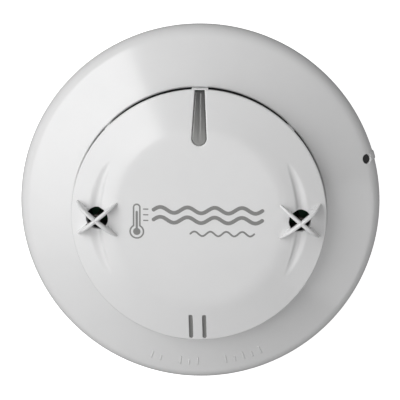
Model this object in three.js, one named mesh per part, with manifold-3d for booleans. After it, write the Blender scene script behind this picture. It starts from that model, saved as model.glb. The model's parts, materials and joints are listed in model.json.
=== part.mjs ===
// Ceiling heat detector with twin thermistors: a plug-in head on a bayonet base.
// Millimetres, +Z up. The origin is the centre of the base's back face, which sits against the ceiling
// or the wall, and +Z points out of the sensing face. The indicator lens lies towards +Y and the two
// guarded thermistors towards -X and +X. The head is drawn locked in its base.
import * as THREE from "three";
import { mergeVertices } from "three/addons/utils/BufferGeometryUtils.js";
import Module from "manifold-3d";

const wasm = await Module();
wasm.setup();

// ---------------------------------------------------------------- driving sizes
const FIT = 0.3; // clearance between pieces that rest on or slide past each other
const FINE = 48; // sides of the large turned pieces
const COARSE = 14; // sides of screws, holes and posts
const TINY = 8; // sides of wires and beads

// base
const BASE_HEIGHT = 8.6;
const BASE_WALL = 2;
const BASE_FLOOR = 2;
const LUG_CLEARANCE = 1; // from the lugs to the inside of the collar
const CHANNEL_WIDTH = 5.4; // between the collar and the wall, where the lever lies
const COLLAR_WALL = 1.6;
const COLLAR_DROP = 0.4; // from the base's edge down to the collar's
const CABLE_HOLE_RADIUS = 14;
const SLOT_WIDTH = 4.6; // mounting slots in the floor
const SLOT_INNER = 27; // radius of the inner end's centre
const SLOT_OUTER = 33; // radius of the outer end's centre

// bayonet
const BAYONET_RADIUS = 36; // outside of the head's bayonet wall
const BAYONET_WALL = 2;
const BAYONET_BOTTOM = 4;
const LUG_REACH = 3.2;
const LUG_HEIGHT = 1.8;
const LUG_ANGLE = 14;
const LEDGE_ANGLE = 18;
const LEDGE_THICKNESS = 1.5;
const STOP_ANGLE = 3;
const STOP_CLEARANCE = 1; // degrees from the locked lug to its stop
const RIB_ANGLE = 2;
const LUG_AZIMUTHS = [90, 210, 330];

// terminals
const CONTACT_AZIMUTHS = [45, 135, 225, 315];
const BLADE_WIDTH = 6;
const BLADE_INSET = 1; // from the bayonet wall to the blades
const BLADE_THICKNESS = 0.8;
const BLADE_BOTTOM = 4.9;
const STRIP = 0.5; // thickness of the base contacts' sheet
const JAW_WIDTH = 5;
const JAW_GAP = 0.4; // from blade to jaw while the head turns
const TERMINAL_INSET = 9; // from the middle of a blade in to its terminal screw
const TERMINAL_SIDE = 8;
const SEAT_REACH = 2.2; // from the middle of a blade out to the edge of its post
const POST_HEIGHT = 1.7;
const SCREW_SHANK = 1.6;
const SCREW_TIP = 1;
const SCREW_HEAD_RADIUS = 3.1;
const SCREW_HEAD_HEIGHT = 2;
const CLAMP_THICKNESS = 1;

// tamper lever
const LEVER_LENGTH = 13;
const LEVER_WIDTH = 3.2;
const LEVER_THICKNESS = 1.6;
const LEVER_PIVOT_Z = 6;
const LEVER_PIN_RADIUS = 0.8;
const LEVER_PIN_LENGTH = 4.8;
const LEVER_PAD = 1.2; // height of the pad that the tool presses

// head shells
const RIM_OVERHANG = 1.25; // of the cover past the base
const HEAD_GAP = 0.4; // from the base's edge to the head
const SKIRT_HEIGHT = 1.84;
const SHOULDER_RADIUS = 6;
const COVER_SLOPE = 27;
const COVER_WALL = 2;
const COVER_BAND = 16.15; // from the rim in to the mouth, seen from the front
const TOOL_HOLE_RADIUS = 1.3;
const TOOL_HOLE_AZIMUTH = 17.7; // the lever's free end lies under it
const TOOL_HOLE_INSET = 2.6; // from the rim to the hole
const MARK_WIDTH = 2.3; // raised mark that lines the head up with the base
const MARK_PROUD = 0.35;

// front cap
const MOUTH_MARGIN = 0.5; // from the cap's lip to the cover's mouth, seen from the front
const AIR_GAP = 4.35; // from the cover's mouth up to the cap's lip
const CAP_LIP = 0.5; // height of the straight lip
const CAP_EDGE_ROUND = 0.4;
const CAP_SLOPE = 16.5;
const CAP_CONE_WIDTH = 10.9; // from the cap's edge in to the crown
const CAP_CROWN_RISE = 0.8;
const CAP_WALL = 2;
const LEG_AZIMUTHS = [45, 135, 225, 315];
const LEG_WIDTH = 1.85;
const LEG_DEPTH = 1.6;

// thermistors and their guards
const SENSOR_INSET = 7.2; // from the cap's edge in to each thermistor
const SENSOR_HOLE = 3;
const FIN_ANGLE = 39; // from the radial line
const FIN_THICKNESS = 1.1;
const FIN_REACH = 6.8;
const FIN_CREST = 4; // above the cap where the fins cross
const FIN_BRIDGE = 1.5; // depth of the crossing over the hole
const BEAD_RADIUS = 1.3;
const LEAD_RADIUS = 0.3;
const LEAD_PITCH = 1.4;

// indicator lens
const LENS_LENGTH = 13.9; // from the cap's edge in to its round end
const LENS_INNER_WIDTH = 3.24;
const LENS_OUTER_WIDTH = 1.95;
const LENS_RECESS = 0.6;
const LENS_HEAD_DEPTH = 2.2;
const LENS_CHANNEL_WALL = 0.85;
const CRADLE_CLEARANCE = 3; // from the shroud's drum to the walls beside the lens
const LED_INSET = 3.3; // from the cap's edge in to the lamp

// shroud, circuit board and rear housing
const SHROUD_LIFT = 1.6; // from the board to the shroud and the lens's stem
const SHROUD_WALL = 1.2;
const SHROUD_MARGIN = 3.5; // of the shroud past the cap
const DRUM_INSET = 9.8; // from the cap's edge in to the drum
const DRUM_RISE = 0.5; // of the drum past the cap's lip
const CHIMNEY_RADIUS = 4.4;
const BOARD_MARGIN = 1.55; // from the screw bosses in to the board
const BOARD_LIFT = 3; // from the housing's floor to the board
const BOARD_THICKNESS = 1.6;
const HOUSING_WALL = 1.6;
const HOUSING_RIM = 1; // height of the raised rim
const SWITCH_SIDE = 10;
const ROTOR_RADIUS = 3.1;
const ROTOR_STEM = 1.1;
const ROTOR_THICKNESS = 1.4;
const SWITCH_PLACES = { tens: [-8.5, 4], units: [8.5, 4] };
const COVER_SCREW_AZIMUTHS = [60, 180, 300];
const COVER_SCREW_INSET = 4.1; // from the housing's edge
const COVER_SCREW_SHANK = 1.1;
const COVER_SCREW_HEAD = 2.2;
const COVER_SCREW_HEAD_HEIGHT = 1.2;
const COVER_SCREW_LENGTH = 5;
const BOSS_RADIUS = 2.2;

const sin = (degrees) => Math.sin(THREE.MathUtils.degToRad(degrees));
const cos = (degrees) => Math.cos(THREE.MathUtils.degToRad(degrees));
const tan = (degrees) => Math.tan(THREE.MathUtils.degToRad(degrees));
const turn = (degrees) => THREE.MathUtils.degToRad(degrees);

// ---------------------------------------------------------------- sizes that follow
const COLLAR_HEIGHT = BASE_HEIGHT - COLLAR_DROP;
const COLLAR_RADIUS = BAYONET_RADIUS + LUG_REACH + LUG_CLEARANCE + COLLAR_WALL;
const BASE_RADIUS = COLLAR_RADIUS + CHANNEL_WIDTH + BASE_WALL;
const BLADE_RADIUS = BAYONET_RADIUS - BAYONET_WALL - BLADE_INSET - BLADE_WIDTH / 2;
const TERMINAL_RADIUS = BLADE_RADIUS - TERMINAL_INSET;
const SEAT_OUTER = BLADE_RADIUS + SEAT_REACH;
const RIM_RADIUS = BASE_RADIUS + RIM_OVERHANG;
const HEAD_BOTTOM = BASE_HEIGHT + HEAD_GAP;
const MOUTH_RADIUS = RIM_RADIUS - COVER_BAND;
const CAP_RADIUS = MOUTH_RADIUS - MOUTH_MARGIN;
const CAP_CROWN_RADIUS = CAP_RADIUS - CAP_CONE_WIDTH;
const SENSOR_RADIUS = CAP_RADIUS - SENSOR_INSET;
const LENS_INNER = CAP_RADIUS - LENS_LENGTH;
const LED_RADIUS = CAP_RADIUS - LED_INSET;
const DRUM_RADIUS = CAP_RADIUS - DRUM_INSET;
const CAP_LIP_BOTTOM = coverOutline(0).at(-1)[1] + AIR_GAP;
const DRUM_TOP = CAP_LIP_BOTTOM + DRUM_RISE;
const HOUSING_RADIUS = RIM_RADIUS - COVER_WALL - 2 * FIT;
const HOUSING_BOTTOM = HEAD_BOTTOM + HEAD_GAP;
const COVER_SCREW_RADIUS = HOUSING_RADIUS - COVER_SCREW_INSET;
const BOARD_RADIUS = COVER_SCREW_RADIUS - BOSS_RADIUS - BOARD_MARGIN;
const BOARD_BOTTOM = HOUSING_BOTTOM + HOUSING_WALL + BOARD_LIFT;
const BOARD_TOP = BOARD_BOTTOM + BOARD_THICKNESS;
const HOUSING_TOP = HOUSING_BOTTOM + HOUSING_WALL;
const HOUSING_RIM_TOP = HOUSING_TOP + HOUSING_RIM;
const SHROUD_FLOOR = BOARD_TOP + SHROUD_LIFT;
const SHROUD_RADIUS = CAP_RADIUS + SHROUD_MARGIN;
const LENS_STEM_BOTTOM = SHROUD_FLOOR;
const SHROUD_TOP = SHROUD_FLOOR + SHROUD_WALL;
const CAP_LIP_TOP = CAP_LIP_BOTTOM + CAP_LIP;
const STRIP_BOTTOM = BASE_FLOOR + POST_HEIGHT + FIT;
const STRIP_TOP = STRIP_BOTTOM + STRIP;
const LEDGE_BOTTOM = COLLAR_HEIGHT - LEDGE_THICKNESS;
const LUG_TOP = LEDGE_BOTTOM - FIT;
const LEDGE_INNER = BAYONET_RADIUS + FIT;
const COLLAR_INNER = COLLAR_RADIUS - COLLAR_WALL;

// Height of the cap's outer surface at a distance r from the axis.
function capHeight(r) {
  const coneStart = CAP_RADIUS - CAP_EDGE_ROUND;
  const coneFoot = CAP_LIP_TOP + CAP_EDGE_ROUND;
  const crownEdge = coneFoot + (coneStart - CAP_CROWN_RADIUS) * tan(CAP_SLOPE);
  if (r >= CAP_CROWN_RADIUS) return coneFoot + (coneStart - r) * tan(CAP_SLOPE);
  return crownEdge + CAP_CROWN_RISE * (1 - (r / CAP_CROWN_RADIUS) ** 2);
}

// ---------------------------------------------------------------- solids from three.js geometry
function solidFrom(geometry) {
  const bare = geometry.clone();
  for (const name of Object.keys(bare.attributes)) {
    if (name !== "position") bare.deleteAttribute(name);
  }
  const merged = mergeVertices(bare, 1e-4);
  const corners = merged.index.array;
  const kept = [];
  for (let i = 0; i < corners.length; i += 3) {
    const [a, b, c] = corners.slice(i, i + 3);
    if (a !== b && b !== c && c !== a) kept.push(a, b, c);
  }
  const build = (triangles) =>
    new wasm.Manifold(
      new wasm.Mesh({
        numProp: 3,
        vertProperties: merged.attributes.position.array,
        triVerts: new Uint32Array(triangles),
      }),
    );
  const made = build(kept);
  return made.volume() > 0 ? made : build(kept.reverse());
}

function geometryFrom(solid) {
  const mesh = solid.getMesh();
  const position = new THREE.BufferAttribute(new Float32Array(mesh.vertProperties), 3);
  const geometry = new THREE.BufferGeometry().setAttribute("position", position);
  geometry.setIndex(new THREE.BufferAttribute(new Uint32Array(mesh.triVerts), 1));
  geometry.computeVertexNormals();
  return geometry;
}

const join = (...solids) => solids.reduce((a, b) => a.add(b));
const cut = (solid, ...tools) => tools.reduce((a, b) => a.subtract(b), solid);

// A piece turned about Z from a closed outline of [radius, height] pairs.
function turned(outline, sides = FINE) {
  const points = outline.map(([r, z]) => new THREE.Vector2(r, z));
  if (outline[0][0] > 0) points.push(points[0].clone());
  return solidFrom(new THREE.LatheGeometry(points, sides).rotateX(Math.PI / 2));
}

function rod(radius, z0, z1, x = 0, y = 0, sides = COARSE) {
  const geometry = new THREE.CylinderGeometry(radius, radius, z1 - z0, sides);
  return solidFrom(geometry.rotateX(Math.PI / 2).translate(x, y, (z0 + z1) / 2));
}

function tube(outer, inner, z0, z1, sides = FINE) {
  return turned([[inner, z0], [outer, z0], [outer, z1], [inner, z1]], sides);
}

function block(x0, x1, y0, y1, z0, z1) {
  const geometry = new THREE.BoxGeometry(x1 - x0, y1 - y0, z1 - z0);
  return solidFrom(geometry.translate((x0 + x1) / 2, (y0 + y1) / 2, (z0 + z1) / 2));
}

// A plan outline raised from z0 to z1, turned about Z afterwards.
function raised(shape, z0, z1, azimuth = 0, curveSegments = 12) {
  const options = { depth: z1 - z0, bevelEnabled: false, curveSegments };
  const geometry = new THREE.ExtrudeGeometry(shape, options);
  return solidFrom(geometry.translate(0, 0, z0).rotateZ(turn(azimuth)));
}

// A sector of a ring, centred on an azimuth.
function sector(inner, outer, azimuth, angle, z0, z1) {
  const shape = new THREE.Shape();
  shape.absarc(0, 0, outer, turn(-angle / 2), turn(angle / 2), false);
  shape.absarc(0, 0, inner, turn(angle / 2), turn(-angle / 2), true);
  return raised(shape, z0, z1, azimuth, 4);
}

// A round-ended slot along X, from x0 to x1 at the ends' centres.
function slotOutline(x0, x1, width) {
  const shape = new THREE.Shape();
  shape.absarc(x1, 0, width / 2, turn(-90), turn(90), false);
  shape.absarc(x0, 0, width / 2, turn(90), turn(270), false);
  return shape;
}

// A closed outline of [x, y] pairs as a shape.
function outlineShape(pairs) {
  return new THREE.Shape(pairs.map(([x, y]) => new THREE.Vector2(x, y)));
}

// An outline in (radial distance, height), given thickness about the radial plane.
function radialPlate(pairs, thickness, azimuth = 0) {
  const options = { depth: thickness, bevelEnabled: false };
  const geometry = new THREE.ExtrudeGeometry(outlineShape(pairs), options);
  geometry.translate(0, 0, -thickness / 2).rotateX(Math.PI / 2).rotateZ(turn(azimuth));
  return solidFrom(geometry);
}

// A solid turned about Z.
function rotated(solid, azimuth) {
  return solidFrom(geometryFrom(solid).rotateZ(turn(azimuth)));
}

const around = (azimuth, radius) => [radius * cos(azimuth), radius * sin(azimuth)];

// ---------------------------------------------------------------- base
function baseBody() {
  const floor = tube(BASE_RADIUS, CABLE_HOLE_RADIUS, 0, BASE_FLOOR);
  const wall = tube(BASE_RADIUS, CHANNEL_OUTER, 0, BASE_HEIGHT);
  const collar = tube(COLLAR_RADIUS, COLLAR_INNER, 0, COLLAR_HEIGHT);
  const grip = COLLAR_INNER + COLLAR_WALL / 2;
  const ledges = LUG_AZIMUTHS.map((azimuth) =>
    sector(LEDGE_INNER, grip, azimuth, LEDGE_ANGLE, LEDGE_BOTTOM, COLLAR_HEIGHT),
  );
  const stopOffset = LUG_ANGLE / 2 + STOP_ANGLE / 2 + STOP_CLEARANCE;
  const stops = LUG_AZIMUTHS.map((azimuth) =>
    sector(LEDGE_INNER, grip, azimuth - stopOffset, STOP_ANGLE, BASE_FLOOR / 2, COLLAR_HEIGHT),
  );
  const ribs = LUG_AZIMUTHS.map((azimuth) =>
    sector(grip, BASE_RADIUS - BASE_WALL / 2, azimuth, RIB_ANGLE, BASE_FLOOR / 2, LEDGE_BOTTOM),
  );
  const seats = CONTACT_AZIMUTHS.map(contactSeat);
  const slots = [0, 90, 180, 270].map((azimuth) =>
    raised(slotOutline(SLOT_INNER, SLOT_OUTER, SLOT_WIDTH), -1, BASE_FLOOR + 1, azimuth, 6),
  );
  const screwHoles = CONTACT_AZIMUTHS.map((azimuth) =>
    rod(SCREW_SHANK + FIT, SCREW_TIP - FIT, STRIP_BOTTOM, ...around(azimuth, TERMINAL_RADIUS)),
  );
  const boreLength = LEVER_PIN_LENGTH + 2 * FIT;
  const pinBore = crossBar(LEVER_PIN_RADIUS + FIT, boreLength, LEVER_OFFSET, LEVER_LENGTH / 2, LEVER_PIVOT_Z);
  const ears = leverEars().subtract(pinBore);
  const turnedEars = rotated(ears, LEVER_AZIMUTH);
  const solid = join(floor, wall, collar, ...ledges, ...stops, ...ribs, ...seats, turnedEars);
  return cut(solid, ...slots, ...screwHoles);
}

// The post under one terminal and its contact jaws.
function contactSeat(azimuth) {
  const half = TERMINAL_SIDE / 2;
  const top = BASE_FLOOR + POST_HEIGHT;
  const post = block(TERMINAL_RADIUS - half, SEAT_OUTER, -half, half, BASE_FLOOR / 2, top);
  return rotated(post, azimuth);
}

const CHANNEL_OUTER = BASE_RADIUS - BASE_WALL; // the lever lies between the collar and the wall
const LEVER_RADIUS = (COLLAR_RADIUS + CHANNEL_OUTER) / 2;
const LEVER_HALF_SPAN = THREE.MathUtils.radToDeg(Math.asin(LEVER_LENGTH / 2 / LEVER_RADIUS));
const LEVER_AZIMUTH = TOOL_HOLE_AZIMUTH + LEVER_HALF_SPAN; // of the middle of the lever
const LEVER_OFFSET = LEVER_RADIUS * cos(LEVER_HALF_SPAN); // from the axis to the lever's middle line
const EAR_LENGTH = 4;

// Two ears stand on the floor beside the lever and are bored for its pin.
function leverEars() {
  const inside = LEVER_WIDTH / 2 + FIT;
  const y = LEVER_LENGTH / 2;
  const top = LEVER_PIVOT_Z + LEVER_PIN_RADIUS + 1;
  const ear = (x0, x1) =>
    block(LEVER_OFFSET + x0, LEVER_OFFSET + x1, y - EAR_LENGTH / 2, y + EAR_LENGTH / 2, BASE_FLOOR / 2, top);
  const reach = CHANNEL_OUTER - LEVER_OFFSET + BASE_WALL / 2;
  return join(ear(-reach, -inside), ear(inside, reach));
}

// A round bar along X, centred on a point of the radial plane.
function crossBar(radius, length, x, y, z, sides = COARSE) {
  const geometry = new THREE.CylinderGeometry(radius, radius, length, sides).rotateZ(Math.PI / 2);
  return solidFrom(geometry.translate(x, y, z));
}

// The lever in its own frame: the pin along X at the origin, the arm along -Y.
function tamperLever() {
  const half = LEVER_WIDTH / 2;
  const face = LEVER_THICKNESS / 2;
  const arm = block(-half, half, -LEVER_LENGTH, LEVER_PIN_RADIUS + 0.6, -face, face);
  const pad = block(-half, half, -LEVER_LENGTH, -LEVER_LENGTH + LEVER_WIDTH, 0, face + LEVER_PAD);
  return join(arm, pad, crossBar(LEVER_PIN_RADIUS, LEVER_PIN_LENGTH, 0, 0, 0));
}

// One base contact, at azimuth 0: a terminal plate inwards and two jaws outwards.
function baseContact() {
  const half = JAW_WIDTH / 2;
  const jawIn = BLADE_RADIUS - BLADE_THICKNESS / 2 - JAW_GAP;
  const sweep = Math.hypot(BLADE_RADIUS + BLADE_THICKNESS / 2, BLADE_WIDTH / 2);
  const jawOut = sweep + JAW_GAP;
  const jawTop = COLLAR_HEIGHT + FIT;
  const plate = TERMINAL_SIDE / 2 - 0.5;
  const sheetEnd = TERMINAL_RADIUS + plate;
  const sheet = block(TERMINAL_RADIUS - plate, sheetEnd, -plate, plate, STRIP_BOTTOM, STRIP_TOP);
  const neck = block(TERMINAL_RADIUS, jawOut + STRIP, -half, half, STRIP_BOTTOM, STRIP_TOP);
  const inner = block(jawIn - STRIP, jawIn, -half, half, STRIP_BOTTOM, jawTop);
  const outer = block(jawOut, jawOut + STRIP, -half, half, STRIP_BOTTOM, jawTop);
  const hole = rod(SCREW_SHANK + FIT, STRIP_BOTTOM - 1, STRIP_TOP + 1, TERMINAL_RADIUS, 0);
  return cut(join(sheet, neck, inner, outer), hole);
}

const CLAMP_BOTTOM = STRIP_TOP + FIT;
const CLAMP_TOP = CLAMP_BOTTOM + CLAMP_THICKNESS;
const SCREW_HEAD_BOTTOM = CLAMP_TOP + FIT;

function clampWasher() {
  const half = TERMINAL_SIDE / 2 - 0.6;
  const plate = block(-half, half, -half, half, CLAMP_BOTTOM, CLAMP_TOP);
  return cut(plate, rod(SCREW_SHANK + FIT, CLAMP_BOTTOM - 1, CLAMP_TOP + 1));
}

// A pan-head screw with a straight slot, standing on its shank.
function slottedScrew(shank, head, tip, seat, headHeight, slotWidth) {
  const top = seat + headHeight;
  const side = seat + headHeight / 2;
  const outline = [[0, seat], [head, seat], [head, side], [head * 0.7, top], [0, top]];
  const slot = block(-head - 1, head + 1, -slotWidth / 2, slotWidth / 2, side, top + 1);
  return cut(join(turned(outline, COARSE), rod(shank, tip, seat + headHeight / 4)), slot);
}

function terminalScrew() {
  return slottedScrew(SCREW_SHANK, SCREW_HEAD_RADIUS, SCREW_TIP, SCREW_HEAD_BOTTOM, SCREW_HEAD_HEIGHT, 0.9);
}

// ---------------------------------------------------------------- head: rear housing and board
function rearHousing() {
  const plate = rod(HOUSING_RADIUS, HOUSING_BOTTOM, HOUSING_TOP, 0, 0, FINE);
  const rim = tube(HOUSING_RADIUS, HOUSING_RADIUS - HOUSING_WALL, HOUSING_BOTTOM, HOUSING_RIM_TOP);
  const seat = tube(BOARD_RADIUS - 0.5, BOARD_RADIUS - 2.1, HOUSING_BOTTOM + 1, BOARD_BOTTOM - FIT);
  const wall = tube(BAYONET_RADIUS, BAYONET_RADIUS - BAYONET_WALL, BAYONET_BOTTOM, HOUSING_BOTTOM + 1);
  const lugs = LUG_AZIMUTHS.map((azimuth) =>
    sector(BAYONET_RADIUS - 1, BAYONET_RADIUS + LUG_REACH, azimuth, LUG_ANGLE, LUG_TOP - LUG_HEIGHT, LUG_TOP),
  );
  const windows = Object.values(SWITCH_PLACES).map(([x, y]) =>
    rod(ROTOR_RADIUS + FIT, HOUSING_BOTTOM - 1, HOUSING_TOP + 1, x, y),
  );
  const slotHalf = BLADE_WIDTH / 2 + FIT;
  const slotDepth = BLADE_THICKNESS / 2 + FIT;
  const slots = CONTACT_AZIMUTHS.map((azimuth) => {
    const geometry = new THREE.BoxGeometry(2 * slotDepth, 2 * slotHalf, 2 * HOUSING_WALL);
    geometry.translate(BLADE_RADIUS, 0, HOUSING_BOTTOM + HOUSING_WALL / 2);
    return solidFrom(geometry.rotateZ(turn(azimuth)));
  });
  const screwHoles = COVER_SCREW_AZIMUTHS.map((azimuth) => {
    const place = around(azimuth, COVER_SCREW_RADIUS);
    return rod(COVER_SCREW_SHANK + FIT, HOUSING_BOTTOM - 1, HOUSING_TOP + 1, ...place);
  });
  const [toolX, toolY] = around(TOOL_HOLE_AZIMUTH, LEVER_RADIUS);
  const toolWay = rod(TOOL_HOLE_RADIUS + 0.5, HOUSING_BOTTOM - 1, HOUSING_TOP + 1, toolX, toolY);
  return cut(join(plate, rim, seat, wall, ...lugs), ...windows, ...slots, ...screwHoles, toolWay);
}

// One contact blade, at azimuth 0, with a foot under the circuit board.
function contactBlade() {
  const half = BLADE_WIDTH / 2;
  const face = BLADE_THICKNESS / 2;
  const top = BOARD_BOTTOM - FIT;
  const blade = block(BLADE_RADIUS - face, BLADE_RADIUS + face, -half, half, BLADE_BOTTOM, top);
  const foot = block(BLADE_RADIUS - 3, BLADE_RADIUS + face, -half, half, top - BLADE_THICKNESS, top);
  return join(blade, foot);
}

const SWITCH_BOTTOM = HOUSING_TOP + FIT;

function switchBody() {
  const half = SWITCH_SIDE / 2;
  const box = block(-half, half, -half, half, SWITCH_BOTTOM, BOARD_BOTTOM - FIT);
  return cut(box, rod(ROTOR_STEM + FIT, SWITCH_BOTTOM - 1, SWITCH_BOTTOM + 1.8));
}

// The rotor's slotted face looks down, out of the rear housing's window.
function switchRotor() {
  const top = SWITCH_BOTTOM - FIT / 2;
  const disc = rod(ROTOR_RADIUS, top - ROTOR_THICKNESS, top);
  const stem = rod(ROTOR_STEM, top - 0.5, SWITCH_BOTTOM + 1.5);
  const slotDepth = ROTOR_THICKNESS / 2;
  const slotEnd = ROTOR_RADIUS - 0.6;
  const slot = block(-slotEnd, slotEnd, -0.45, 0.45, top - ROTOR_THICKNESS - 1, top - slotDepth);
  return cut(join(disc, stem), slot);
}

const COVER_SCREW_SEAT = HOUSING_BOTTOM - FIT;

function coverScrew() {
  const tip = -COVER_SCREW_LENGTH;
  return slottedScrew(COVER_SCREW_SHANK, COVER_SCREW_HEAD, tip, 0, COVER_SCREW_HEAD_HEIGHT, 0.8);
}

const circuitBoard = () => rod(BOARD_RADIUS, BOARD_BOTTOM, BOARD_TOP, 0, 0, FINE);

// ---------------------------------------------------------------- head: shroud, sensors, lens
function sensorShroud() {
  const inner = DRUM_RADIUS - SHROUD_WALL;
  const drum = turned([
    [0, DRUM_TOP],
    [DRUM_RADIUS - 1.5, DRUM_TOP],
    [DRUM_RADIUS, DRUM_TOP - 1.5],
    [DRUM_RADIUS, SHROUD_TOP],
    [SHROUD_RADIUS, SHROUD_TOP],
    [SHROUD_RADIUS, BOARD_TOP + FIT],
    [SHROUD_RADIUS - SHROUD_WALL, BOARD_TOP + FIT],
    [SHROUD_RADIUS - SHROUD_WALL, SHROUD_FLOOR],
    [inner, SHROUD_FLOOR],
    [inner, DRUM_TOP - SHROUD_WALL],
    [0, DRUM_TOP - SHROUD_WALL],
  ]);
  const chimneyTop = capHeight(SENSOR_RADIUS + CHIMNEY_RADIUS) - CAP_WALL / cos(CAP_SLOPE) - FIT;
  const chimneys = [-1, 1].map((side) =>
    rod(CHIMNEY_RADIUS, SHROUD_FLOOR, chimneyTop, side * SENSOR_RADIUS, 0, 24),
  );
  const bores = [-1, 1].map((side) =>
    rod(SENSOR_HOLE + 0.2, SHROUD_FLOOR - 1, chimneyTop + 1, side * SENSOR_RADIUS, 0, 24),
  );
  const window = raised(lensPlan(2 * FIT), SHROUD_FLOOR - 1, SHROUD_TOP + 1);
  const beyondDrum = tube(RIM_RADIUS, DRUM_RADIUS + 0.1, SHROUD_FLOOR - 2, SHROUD_TOP + 2);
  return cut(join(drum, ...chimneys), ...bores, window.intersect(beyondDrum));
}

// Two stiff leads from the board and the bead they carry, at the origin of the plan.
function thermistor() {
  const beadZ = capHeight(SENSOR_RADIUS) + 0.6;
  const leads = [-1, 1].map((side) =>
    rod(LEAD_RADIUS, BOARD_TOP + FIT, beadZ, 0, (side * LEAD_PITCH) / 2, TINY),
  );
  const bead = new THREE.SphereGeometry(BEAD_RADIUS, 12, 8).rotateX(Math.PI / 2).scale(1, 1, 1.25);
  return join(solidFrom(bead.translate(0, 0, beadZ)), ...leads);
}

// The lens seen from the front: a taper along +Y with a round inner end, grown by a margin.
function lensPlan(margin) {
  const inner = LENS_INNER_WIDTH / 2 + margin;
  const outer = LENS_OUTER_WIDTH / 2 + margin;
  const centre = LENS_INNER + LENS_INNER_WIDTH / 2;
  const shape = new THREE.Shape();
  shape.absarc(0, centre, inner, turn(180), turn(360), false);
  shape.lineTo(outer, CAP_RADIUS + 2 * margin);
  shape.lineTo(-outer, CAP_RADIUS + 2 * margin);
  return shape;
}

// The lens from the side: it follows the cap's surface and carries a stem down to the LED.
function lightPipe() {
  const end = CAP_RADIUS - 0.2;
  const top = (r, recess) => [r, capHeight(r) - recess];
  const lipTop = capHeight(CAP_RADIUS - CAP_EDGE_ROUND);
  const side = radialPlate(
    [
      top(LENS_INNER - 1, LENS_RECESS),
      [LENS_INNER - 1, capHeight(LENS_INNER) - LENS_HEAD_DEPTH],
      [LED_RADIUS - 3, capHeight(LED_RADIUS - 3) - LENS_HEAD_DEPTH],
      [LED_RADIUS - 2.2, LENS_STEM_BOTTOM],
      [LED_RADIUS + 2.2, LENS_STEM_BOTTOM],
      [end - 0.8, LENS_STEM_BOTTOM + 4],
      [end, lipTop - 0.4],
      top(CAP_CROWN_RADIUS, LENS_RECESS),
      top(CAP_CROWN_RADIUS - 3, LENS_RECESS),
    ],
    2 * LENS_INNER_WIDTH,
    90,
  );
  return side.intersect(raised(lensPlan(0), 0, 2 * CAP_LIP_BOTTOM));
}

// ---------------------------------------------------------------- head: front cap and cover
// A cap-shaped shell, from its lower lip over the cone to the crown and back inside.
function capShell() {
  const crownSteps = [1, 0.82, 0.6, 0.35];
  const over = crownSteps.map((share) => share * CAP_CROWN_RADIUS);
  const outside = over.map((r) => [r, capHeight(r)]);
  const inside = over.map((r) => [r, capHeight(r) - CAP_WALL]).reverse();
  const wallRise = CAP_WALL / cos(CAP_SLOPE);
  const coneFoot = CAP_LIP_TOP + CAP_EDGE_ROUND;
  const lipInner = CAP_RADIUS - CAP_EDGE_ROUND - (CAP_LIP_BOTTOM + wallRise - coneFoot) / tan(CAP_SLOPE);
  return turned([
    [0, capHeight(0) - CAP_WALL],
    ...inside,
    [lipInner, CAP_LIP_BOTTOM],
    [CAP_RADIUS, CAP_LIP_BOTTOM],
    [CAP_RADIUS, CAP_LIP_TOP],
    [CAP_RADIUS - CAP_EDGE_ROUND, capHeight(CAP_RADIUS - CAP_EDGE_ROUND)],
    ...outside,
    [0, capHeight(0)],
  ]);
}

// Height of the cap under a point s along a fin, for fins that leave the radial line at FIN_ANGLE.
function underFin(s) {
  return capHeight(Math.hypot(SENSOR_RADIUS + s * cos(FIN_ANGLE), s * sin(FIN_ANGLE)));
}

// One arched fin over the +X hole: solid out to its tips and open underneath, over the hole.
function guardFin(side) {
  const crest = capHeight(SENSOR_RADIUS) + FIN_CREST;
  const sink = CAP_WALL / 2;
  const arch = [];
  for (const share of [0.94, 0.8, 0.6, 0.4, 0.2, 0, -0.2, -0.4, -0.6, -0.8, -0.94]) {
    const s = share * FIN_REACH;
    const foot = underFin(s);
    const lift = 1 - share * share;
    arch.push([s, foot + 0.15 + (crest - foot) * Math.min(1, lift * 1.05)]);
  }
  const opening = SENSOR_HOLE + 0.2;
  const under = [-opening, -opening * 0.6, opening * 0.6, opening].map((s, i) => {
    const drop = i === 0 || i === 3 ? 1.1 : 0;
    return [s, crest - FIN_BRIDGE - drop - Math.max(0, s) * 0.25];
  });
  const pairs = [
    [FIN_REACH, underFin(FIN_REACH)],
    ...arch,
    [-FIN_REACH, underFin(-FIN_REACH)],
    [-FIN_REACH, underFin(-FIN_REACH) - sink],
    [-opening, underFin(-opening) - sink],
    ...under,
    [opening, underFin(opening) - sink],
    [FIN_REACH, underFin(FIN_REACH) - sink],
  ];
  const options = { depth: FIN_THICKNESS, bevelEnabled: false };
  const plate = new THREE.ExtrudeGeometry(outlineShape(pairs), options);
  plate.translate(0, 0, -FIN_THICKNESS / 2).rotateX(Math.PI / 2).rotateZ(turn(side * FIN_ANGLE));
  return solidFrom(plate.translate(SENSOR_RADIUS, 0, 0));
}

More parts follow.
